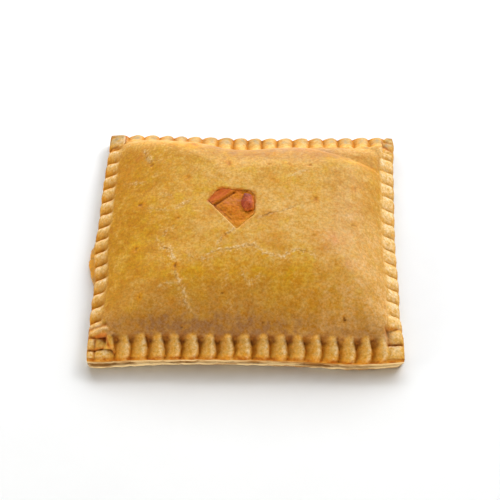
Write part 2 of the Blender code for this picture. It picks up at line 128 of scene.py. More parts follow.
def bump(value, place, spread):
    return np.exp(-(((value - place) / spread) ** 2))


def fromEdges(p, q):
    return {"left": halfWidth + p, "right": halfWidth - p, "front": halfDepth + q, "back": halfDepth - q}


def fromNearest(p, q):
    return np.minimum.reduce(list(fromEdges(p, q).values()))


def along(side, p, q):
    return p if side in ("front", "back") else q


# 1 between low and high, fading over a soft width to either side of both.
def between(low, high, soft, value):
    return smoothStep(low - soft, low + soft, value) * (1 - smoothStep(high - soft, high + soft, value))


def grooveCount(side, c):
    made = sides[side]
    drift, length, place = made["drift"]
    return (c - made["first"] - drift * np.sin(2 * math.pi * (c - place) / length)) / made["pitch"]


def ridge(side, c):
    made = sides[side]
    lean = math.log(0.5) / math.log(made["crest"])
    phase = np.mod(grooveCount(side, c), 1.0)
    shape = np.abs(np.sin(math.pi * phase**lean)) ** dough["roundness"]
    return 1 - (1 - shape) * between(*made["span"], 1.0, c)


def crimpReach(side, c):
    reach = sides[side]["reach"]
    if side == "back":
        reach = reach + sum(deep * bump(c, place, spread) for place, spread, deep in dough["setbacks"])
    return reach


def footRise(s):
    t = np.clip(s / dough["footRound"], 0.0, 1.0)
    return np.sqrt(1 - (1 - t) ** 2)


# The crimps' look on each side: how deep, where the crest lies between two grooves, how far the
# grooves bulge sideways, where they end at the low and the high end of the side, how broad they are
# at the edge and at the dome, how far the ridges swell and how far the grooves slant.
crimps = {
    "front": {
        "deep": 1.8, "crest": 0.7, "belly": 0.5, "ends": (7.7, 7.7), "broad": (0.3, 0.6),
        "swell": 0.5, "slant": 0.0,
    },
    "back": {
        "deep": 1.9, "crest": 0.6, "belly": 0.0, "ends": (6.2, 6.2), "broad": (0.5, 0.5),
        "swell": 0.2, "slant": 0.0,
    },
    "left": {
        "deep": 0.8, "crest": 0.72, "belly": 0.0, "ends": (4.6, 6.4), "broad": (0.34, 0.42),
        "swell": 0.3, "slant": 0.3,
    },
    "right": {
        "deep": 0.55, "crest": 0.68, "belly": 0.0, "ends": (5.2, 6.0), "broad": (0.28, 0.28),
        "swell": 0.2, "slant": 0.22,
    },
}

# What the crimps of all sides share.
crimping = {
    "half": 61.0,  # from a side's middle to where its ends are measured
    "softEnds": 0.6,
    "softLip": 0.45,
    "slantSpan": (-12.0, 46.0),
    "meeting": (-0.6, 1.6),  # how they fade where two sides meet
    "fade": (1.3, 0.9),  # before and past their inner end
    # Unevenness: strength, patch size and seed.
    "reach": ((0.35, 5.0, 41.0),),
    "bend": ((0.25, 9.0, 42.0), (0.12, 2.2, 43.0)),
    "crest": ((0.07, 6.0, 44.0),),
    "deep": ((0.25, 7.0, 45.0),),
}


# The crimps of one side: their depth, how far up from the groove each place lies (0 to 1), its
# place between two grooves, how much of it belongs to the crimps and how far in they end.
def crimpMarks(side, p, q):
    made, s, c = crimps[side], fromEdges(p, q)[side], along(side, p, q)
    lip, level = sides[side]["lip"], 0.0 * c
    toEnd = np.clip(0.5 + 0.5 * c / crimping["half"], 0.0, 1.0)
    end = made["ends"][0] * (1 - toEnd) + made["ends"][1] * toEnd
    if side == "back":
        end = end + crimpReach(side, c) - sides[side]["reach"]
    end = end + waver(c, level, crimping["reach"])
    t = np.clip((s - lip) / (end - lip), 0.0, 1.0)
    middle = 4 * t * (1 - t)
    bent = c + made["slant"] * (s - 1.0) * smoothStep(*crimping["slantSpan"], c)
    bent = bent - made["belly"] * middle + waver(c, s, crimping["bend"])
    phase = np.mod(grooveCount(side, bent), 1.0)
    lean = np.log(0.5) / np.log(made["crest"] + waver(c, level, crimping["crest"]))
    broad = made["broad"][0] + (made["broad"][1] - made["broad"][0]) * t**1.5
    up = np.abs(np.sin(math.pi * phase**lean)) ** broad
    inside = between(*sides[side]["span"], crimping["softEnds"], c)
    for other, far in fromEdges(p, q).items():
        if (other in ("front", "back")) != (side in ("front", "back")):
            inside = inside * smoothStep(*crimping["meeting"], far - s + 0.6)
    inside = inside * smoothStep(lip - crimping["softLip"], lip + crimping["softLip"], s)
    before, past = crimping["fade"]
    shown = inside * (1 - smoothStep(end - before, end + past, s))
    deep = made["deep"] * (1 + waver(c, s * 0.3, crimping["deep"]))
    return shown * deep * (1 - up) - made["swell"] * middle * up * inside, up, phase, shown, end


def edgeLift(p, q):
    height, place, spread, reach = dough["edgeLift"]
    return height * bump(p, place, spread) * (1 - smoothStep(0.0, reach, fromEdges(p, q)["front"]))


def rimHeight(p, q):
    height = dough["rimRise"]
    for side, s in fromEdges(p, q).items():
        made = sides[side]
        t = np.clip(s / crimpReach(side, along(side, p, q)), 0.0, 1.0)
        slope = (1 - made["hollow"]) * t + made["hollow"] * t * t
        rise = made["step"] * footRise(s) + (dough["rimRise"] - made["step"]) * slope
        height = np.minimum(height, rise)
    return dough["edgeTop"] + height


def domeShare(p, q):
    place, inset, turn, width, deep = dough["facet"]
    away = (fromEdges(p, q)["back"] - inset - turn * (p - place)) / math.hypot(1.0, turn) / width
    short = (deep * (1 - np.clip(away, 0.0, 1.0)) ** dough["fullness"]) ** dough["hips"]
    for side, s in fromEdges(p, q).items():
        start = crimpReach(side, along(side, p, q)) - dough["lap"]
        t = np.clip((s - start) / sides[side]["shoulder"], 0.0, 1.0)
        short = short + (1 - t) ** (dough["fullness"] * dough["hips"])
    return np.clip(1 - short ** (1 / dough["hips"]), 0.0, 1.0) ** dough["wall"]


def plainHeight(p, q):
    swell = dough["domeRise"]
    for placeP, placeQ, spread, height in dough["swells"]:
        swell = swell + height * bump(p, placeP, spread) * bump(q, placeQ, spread)
    return rimHeight(p, q) + swell * domeShare(p, q) + edgeLift(p, q)


def topHeight(p, q):
    return plainHeight(p, q) - sum(crimpMarks(side, p, q)[0] for side in sides)


def ceilingHeight(p, q):
    floor = dough["baseThick"] + dough["gap"]
    under = np.maximum(plainHeight(p, q) - crust["thick"], floor)
    start, ramp = dough["cavity"]
    return floor + (under - floor) * smoothStep(start, start + ramp, fromNearest(p, q))


def edgeBow(side, p, q):
    c = along(side, p, q)
    rim = 1 - smoothStep(3.0, 8.0, fromEdges(p, q)[side])
    bow = sides[side]["scallop"] * (ridge(side, c) - 0.5) * rim
    return bow + sum(height * bump(c, place, spread) for place, spread, height in sides[side]["bumps"])


def planPoint(p, q, peek=0.0):
    fade = dough["bowFade"]
    leftBow = edgeBow("left", p, q) + peek * bump(q, dough["peek"][0], dough["peek"][1])
    toRight = np.clip(0.5 + p / dough["width"], 0.0, 1.0)
    toBack = np.clip(0.5 + q / dough["depth"], 0.0, 1.0)
    x = p + edgeBow("right", p, q) * toRight**fade - leftBow * (1 - toRight) ** fade
    y = q + edgeBow("back", p, q) * toBack**fade - edgeBow("front", p, q) * (1 - toBack) ** fade
    near = halfWidth - abs(p) + halfDepth - abs(q)
    pull = dough["cornerPull"] * np.exp(-near / dough["cornerReach"])
    return x - pull * np.sign(p) + dough["shift"][0], y - pull * np.sign(q) + dough["shift"][1]


def squarePoint(angle, inset, squareness):
    c, s = np.cos(angle), np.sin(angle)
    reach = (abs(c) ** squareness + abs(s) ** squareness) ** (-1 / squareness)
    return (halfWidth - inset) * reach * c, (halfDepth - inset) * reach * s


def ringSquareness(inset):
    least, more, over = dough["squareness"]
    return least + more * math.exp(-(inset - dough["cavity"][0]) / over)


def ventOutline():
    corners = [np.array(corner[:2]) for corner in dough["vent"]]
    points = []
    for index, corner in enumerate(corners):
        radius = dough["vent"][index][2]
        before = corners[index - 1] - corner
        after = corners[(index + 1) % len(corners)] - corner
        before /= np.linalg.norm(before)
        after /= np.linalg.norm(after)
        half = math.acos(float(np.clip(before @ after, -1, 1))) / 2
        middle = corner + (before + after) / np.linalg.norm(before + after) * radius / math.sin(half)
        start = corner + before * radius / math.tan(half) - middle
        end = corner + after * radius / math.tan(half) - middle
        for step in range(dough["cornerSteps"] + 1):
            t = step / dough["cornerSteps"]
            spoke = start * (1 - t) + end * t
            points.append(middle + spoke / np.linalg.norm(spoke) * radius)
    return points


ventPoints = ventOutline()
ventEdges = list(zip(ventPoints, ventPoints[1:] + ventPoints[:1]))
ventCentre = sum(ventPoints) / len(ventPoints)


# The nearest place on the way from one point to another, as a share of it, and the distance.
def fromSegment(p, q, a, b):
    way = b - a
    t = np.clip(((p - a[0]) * way[0] + (q - a[1]) * way[1]) / np.linalg.norm(way) ** 2, 0.0, 1.0)
    return t, np.hypot(p - a[0] - t * way[0], q - a[1] - t * way[1])


# The distance outside the vent's outline, negative inside it.
def fromVent(p, q):
    inside = away = np.full(np.shape(p), farOff)
    for a, b in ventEdges:
        edge = b - a
        found = (edge[0] * (q - a[1]) - edge[1] * (p - a[0])) / np.linalg.norm(edge)
        inside = np.minimum(inside, found)
        away = np.minimum(away, fromSegment(p, q, a, b)[1])
    return np.where(inside > 0, -away, away)


# How far the vent's outline lies from its centre, in each direction.
def ventReach(angle):
    reach = np.full(np.shape(angle), farOff)
    wayP, wayQ = np.cos(angle), np.sin(angle)
    for a, b in ventEdges:
        edge = b - a
        offset = a - ventCentre
        cross = wayP * edge[1] - wayQ * edge[0]
        found = (offset[0] * edge[1] - offset[1] * edge[0]) / np.where(abs(cross) < 1e-9, 1e-9, cross)
        reach = np.where((cross > 1e-9) & (found > 0), np.minimum(reach, found), reach)
    return reach


# A ring part of the way from one inside the cavity's wall to the vent's outline, a gap off both.
def cavityRing(angles, inset, blend, gap=0.0):
    outer = squarePoint(angles, inset + gap, ringSquareness(inset))
    reach = ventReach(angles) - gap
    inner = ventCentre[0] + reach * np.cos(angles), ventCentre[1] + reach * np.sin(angles)
    return [far * (1 - blend) + near * blend for far, near in zip(outer, inner)]


# Soft unevenness between about -1 and 1, over patches of one size.
def uneven(p, q, size, seed):
    return np.array([noise.noise((a, b, seed)) for a, b in zip(p / size, q / size)]) * noiseGain


# The sum of some unevennesses, each given by its strength, patch size and seed.
def waver(p, q, kinds):
    return sum(strength * uneven(p, q, size, seed) for strength, size, seed in kinds)


# The distance to a drawn line and the share of its length at the nearest place.
def fromLine(p, q, points):
    points = [np.array(point, float) for point in points]
    lengths = [np.linalg.norm(b - a) for a, b in zip(points, points[1:])]
    best, share, run = np.full(np.shape(p), farOff), np.zeros(np.shape(p)), 0.0
    for a, b, length in zip(points, points[1:], lengths):
        t, away = fromSegment(p, q, a, b)
        share = np.where(away < best, (run + t * length) / sum(lengths), share)
        best = np.minimum(best, away)
        run += length
    return best, share


def nextRing(bm, edges):
    made = bmesh.ops.extrude_edge_only(bm, edges=edges)["geom"]
    verts = {item for item in made if isinstance(item, bmesh.types.BMVert)}
    ring = {edge for vert in verts for edge in vert.link_edges if set(edge.verts) <= verts}
    return list(verts), list(ring)


# A disc and rings that grow from its edge, and each vert's ring and its direction from the middle.
def ringMesh(turns, rings):
    bm = bmesh.new()
    level = bm.verts.layers.int.new("level")
    turn = bm.verts.layers.float.new("turn")
    verts = bmesh.ops.create_circle(bm, segments=turns, radius=1.0)["verts"]
    for vert in verts:
        vert[turn] = math.atan2(vert.co.y, vert.co.x)
        vert[level] = 0
    edges = list({edge for vert in verts for edge in vert.link_edges})
    bmesh.ops.edgenet_fill(bm, edges=edges)
    for number in range(1, rings + 1):
        verts, edges = nextRing(bm, edges)
        for vert in verts:
            vert[level] = number
    bmesh.ops.edgenet_fill(bm, edges=edges)
    levels = np.array([vert[level] for vert in bm.verts])
    return bm, levels, np.array([vert[turn] for vert in bm.verts])


def placeVerts(bm, x, y, z):
    for index, vert in enumerate(bm.verts):
        vert.co = (x[index] * mm, y[index] * mm, z[index] * mm)


def newObject(name, data):
    made = bpy.data.objects.new(name, data)
    bpy.context.scene.collection.objects.link(made)
    return made


def newMesh(bm, name, material):
    mesh = bpy.data.meshes.new(name)
    bm.to_mesh(mesh)
    bm.free()
    mesh.materials.append(material)
    return mesh


def finishPiece(bm, name, material, node, values):
    bmesh.ops.recalc_face_normals(bm, faces=bm.faces[:])
    mesh = newMesh(bm, name, material)
    for key, found in values.items():
        layer = mesh.attributes.new(key, "FLOAT", "POINT")
        layer.data.foreach_set("value", np.asarray(found, np.float32))
    mesh.shade_smooth()
    piece = newObject(name, mesh)
    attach(piece, "root")
    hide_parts(node)
    print(name, len(mesh.polygons), "faces")


# Gives a socket a number, a colour or what another socket puts out.
def feed(tree, socket, item):
    if isinstance(item, bpy.types.NodeSocket):
        tree.links.new(item, socket)
    elif socket.type == "RGBA" and len(item) == 3:
        socket.default_value = (*item, 1.0)
    else:
        socket.default_value = item


def addNode(tree, kind, inputs=None, **settings):
    node = tree.nodes.new(kind)
    for key, value in settings.items():
        setattr(node, key, value)
    for key, item in (inputs or {}).items():
        feed(tree, node.inputs[key], item)
    return node


def math2(tree, operation, a, b):
    return addNode(tree, "ShaderNodeMath", {0: a, 1: b}, operation=operation).outputs[0]


def plus(tree, a, b):
    return math2(tree, "ADD", a, b)


def times(tree, a, b):
    return math2(tree, "MULTIPLY", a, b)


def mixColor(tree, factor, a, b, mode="MIX"):
    inputs = {0: factor, 6: a, 7: b}
    return addNode(tree, "ShaderNodeMix", inputs, data_type="RGBA", blend_type=mode).outputs[2]


def mapRange(tree, value, low, high, toLow=0.0, toHigh=1.0):
    inputs = dict(enumerate((value, low, high, toLow, toHigh)))
    return addNode(tree, "ShaderNodeMapRange", inputs, interpolation_type="SMOOTHSTEP").outputs[0]


def noiseIn(tree, vector, scale, detail, rough):
    inputs = {"Vector": vector, "Scale": scale, "Detail": detail, "Roughness": rough}
    return addNode(tree, "ShaderNodeTexNoise", inputs).outputs["Fac"]


# A noise between -1 and 1.
def swingIn(tree, vector, scale, detail, rough):
    return mapRange(tree, noiseIn(tree, vector, scale, detail, rough), 0.3, 0.7, -1.0, 1.0)


# A colour whose channels are each multiplied by a level.
def levelled(tree, color, red, green, blue):
    tone = addNode(tree, "ShaderNodeCombineColor", {"Red": red, "Green": green, "Blue": blue})
    return mixColor(tree, 1.0, color, tone.outputs[0], "MULTIPLY")


# An input's first value says its kind: None is a vector, and a tuple is a colour.
def newGroup(name, inputs, outputs):
    tree = bpy.data.node_groups.new(name, "ShaderNodeTree")
    for label, value in inputs.items():
        kind = "Vector" if value is None else "Color" if isinstance(value, tuple) else "Float"
        made = tree.interface.new_socket(label, in_out="INPUT", socket_type="NodeSocket" + kind)
        if value is not None:
            made.default_value = value
    for label, kind in outputs.items():
        tree.interface.new_socket(label, in_out="OUTPUT", socket_type="NodeSocket" + kind)
    return tree, tree.nodes.new("NodeGroupInput").outputs, tree.nodes.new("NodeGroupOutput").inputs


# Two colours that drift into each other over patches, with a fine grain over them.
def mottleGroup():
    tree, given, out = newGroup(
        "mottled dough",
        {
            "Vector": None, "Lighter": white, "Deeper": white, "Patch Scale": 90.0,
            "Grain Scale": 900.0, "Grain": 0.2, "Flecks": white, "Fleck Share": 0.0,
        },
        {"Color": "Color", "Patches": "Float"},
    )
    place = given["Vector"]
    patches = mapRange(tree, noiseIn(tree, place, given["Patch Scale"], 3.0, 0.55), 0.34, 0.66)
    color = mixColor(tree, patches, given["Lighter"], given["Deeper"])
    specks = mapRange(tree, noiseIn(tree, place, 330.0, 6.0, 0.75), 0.42, 0.68)
    color = mixColor(tree, times(tree, specks, given["Fleck Share"]), color, given["Flecks"])
    grain = times(tree, swingIn(tree, place, given["Grain Scale"], 3.0, 0.65), given["Grain"])
    level = plus(tree, grain, 1.0)
    feed(tree, out["Color"], levelled(tree, color, level, level, level))
    feed(tree, out["Patches"], patches)
    return tree


# A fine uneven tone over a finished colour, strongest in its blue.
def grainGroup():
    inputs = {"Color": white, "Vector": None, "Grain": 0.2}
    tree, given, out = newGroup("fine grain", inputs, {"Color": "Color"})
    shares = []
    for scale, shift in ((1000.0, 0.0), (620.0, 0.05)):
        inputs = {0: given["Vector"], 1: (shift, 0.0, 0.0)}
        moved = addNode(tree, "ShaderNodeVectorMath", inputs, operation="ADD").outputs[0]
        shares.append(times(tree, swingIn(tree, moved, scale, 4.0, 0.7), given["Grain"]))
    levels = []
    for light, hue in ((1.0, 0.0), (1.4, 0.8), (2.6, 3.2)):  # red, green and blue
        mixed = plus(tree, times(tree, shares[0], light), times(tree, shares[1], hue))
        levels.append(plus(tree, mixed, 1.0))
    feed(tree, out["Color"], levelled(tree, given["Color"], *levels))
    return tree


# A second colour laid over a first one where a mask says so, broken up by a grain.
def stainGroup():
    inputs = {
        "Color": white, "Stain": white, "Mask": 0.0, "Vector": None, "Break Scale": 700.0, "Break": 0.3,
    }
    tree, given, out = newGroup("stain over", inputs, {"Color": "Color"})
    swing = swingIn(tree, given["Vector"], given["Break Scale"], 2.0, 0.6)
    worn = plus(tree, times(tree, swing, given["Break"]), 1.0)
    shown = addNode(tree, "ShaderNodeClamp", {0: times(tree, given["Mask"], worn)}).outputs[0]
    feed(tree, out["Color"], mixColor(tree, shown, given["Color"], given["Stain"]))
    return tree


# The fine crumb of baked dough, as a height for a Bump node.
def crumbGroup():
    inputs = {"Vector": None, "Scale": 1100.0, "Pores": 0.4}
    tree, given, out = newGroup("dough crumb", inputs, {"Height": "Float"})
    fine = noiseIn(tree, given["Vector"], given["Scale"], 4.0, 0.62)
    cells = addNode(tree, "ShaderNodeTexVoronoi", {"Vector": given["Vector"], "Scale": 1500.0})
    pores = mapRange(tree, cells.outputs["Distance"], 0.0, 0.35, 1.0, 0.0)
    feed(tree, out["Height"], math2(tree, "SUBTRACT", fine, times(tree, pores, given["Pores"])))
    return tree


# Thin flaky layers that run along a cut edge of dough, wavering up and down.
def layerGroup():
    inputs = {"Vector": None, "Pale": white, "Dark": white, "Layers": 1200.0}
    tree, given, out = newGroup("layered edge", inputs, {"Color": "Color", "Height": "Float"})
    split = addNode(tree, "ShaderNodeSeparateXYZ", {0: given["Vector"]}).outputs
    rise = times(tree, noiseIn(tree, given["Vector"], 140.0, 3.0, 0.6), 0.0022)
    stretched = {
        "X": times(tree, split["X"], 60.0),
        "Y": times(tree, split["Y"], 60.0),
        "Z": times(tree, plus(tree, split["Z"], rise), given["Layers"]),
    }
    lines = addNode(tree, "ShaderNodeCombineXYZ", stretched).outputs[0]
    mask = mapRange(tree, noiseIn(tree, lines, 1.0, 3.0, 0.6), 0.38, 0.62)
    feed(tree, out["Color"], mixColor(tree, mask, given["Dark"], given["Pale"]))
    feed(tree, out["Height"], mask)
    return tree


groups = {
    "mottle": mottleGroup(),
    "grain": grainGroup(),
    "stain": stainGroup(),
    "crumb": crumbGroup(),
    "layer": layerGroup(),
}


def newMaterial(name):
    material = bpy.data.materials.new(name)
    material.use_nodes = True
    tree = material.node_tree
    shader = tree.nodes["Principled BSDF"]
    place = tree.nodes.new("ShaderNodeTexCoord").outputs["Object"]
    return material, tree, shader, place


def attribute(tree, name):
    return addNode(tree, "ShaderNodeAttribute", attribute_name=name).outputs["Fac"]


def useGroup(tree, name, inputs):
    return addNode(tree, "ShaderNodeGroup", inputs, node_tree=groups[name]).outputs


# Lays a piece's stains and its painted light and shade over a colour, each where the attribute of its name
# says.
def stained(tree, place, color, stains):
    for mask, stain, scale, broken in stains:
        inputs = {"Color": color, "Stain": stain, "Mask": attribute(tree, mask), "Vector": place}
        color = useGroup(tree, "stain", {**inputs, "Break Scale": scale, "Break": broken})["Color"]
    return color


# Feeds the shader its colour, roughness and shine, and a piece's crumb and cut layers as a bump.
def fillShader(tree, shader, place, made, color, rough, layers=None):
    feed(tree, shader.inputs["Base Color"], color)
    feed(tree, shader.inputs["Roughness"], rough)
    if "shine" in made:
        feed(tree, shader.inputs["Specular IOR Level"], made["shine"])
    if "crumb" in made:
        height = useGroup(tree, "crumb", {"Vector": place, **made["crumb"]})["Height"]
        if layers is not None:
            height = plus(tree, height, times(tree, layers, made["layerRise"]))
        strength, distance = made["bump"]
        inputs = {"Strength": strength, "Distance": distance, "Height": height}
        feed(tree, shader.inputs["Normal"], addNode(tree, "ShaderNodeBump", inputs).outputs["Normal"])


def plainMaterial(name, made):
    material, tree, shader, place = newMaterial(name)
    color = useGroup(tree, "mottle", {"Vector": place, **made["mottle"]})["Color"]
    color = stained(tree, place, color, made["stains"])
    fillShader(tree, shader, place, made, color, made["rough"])
    return material


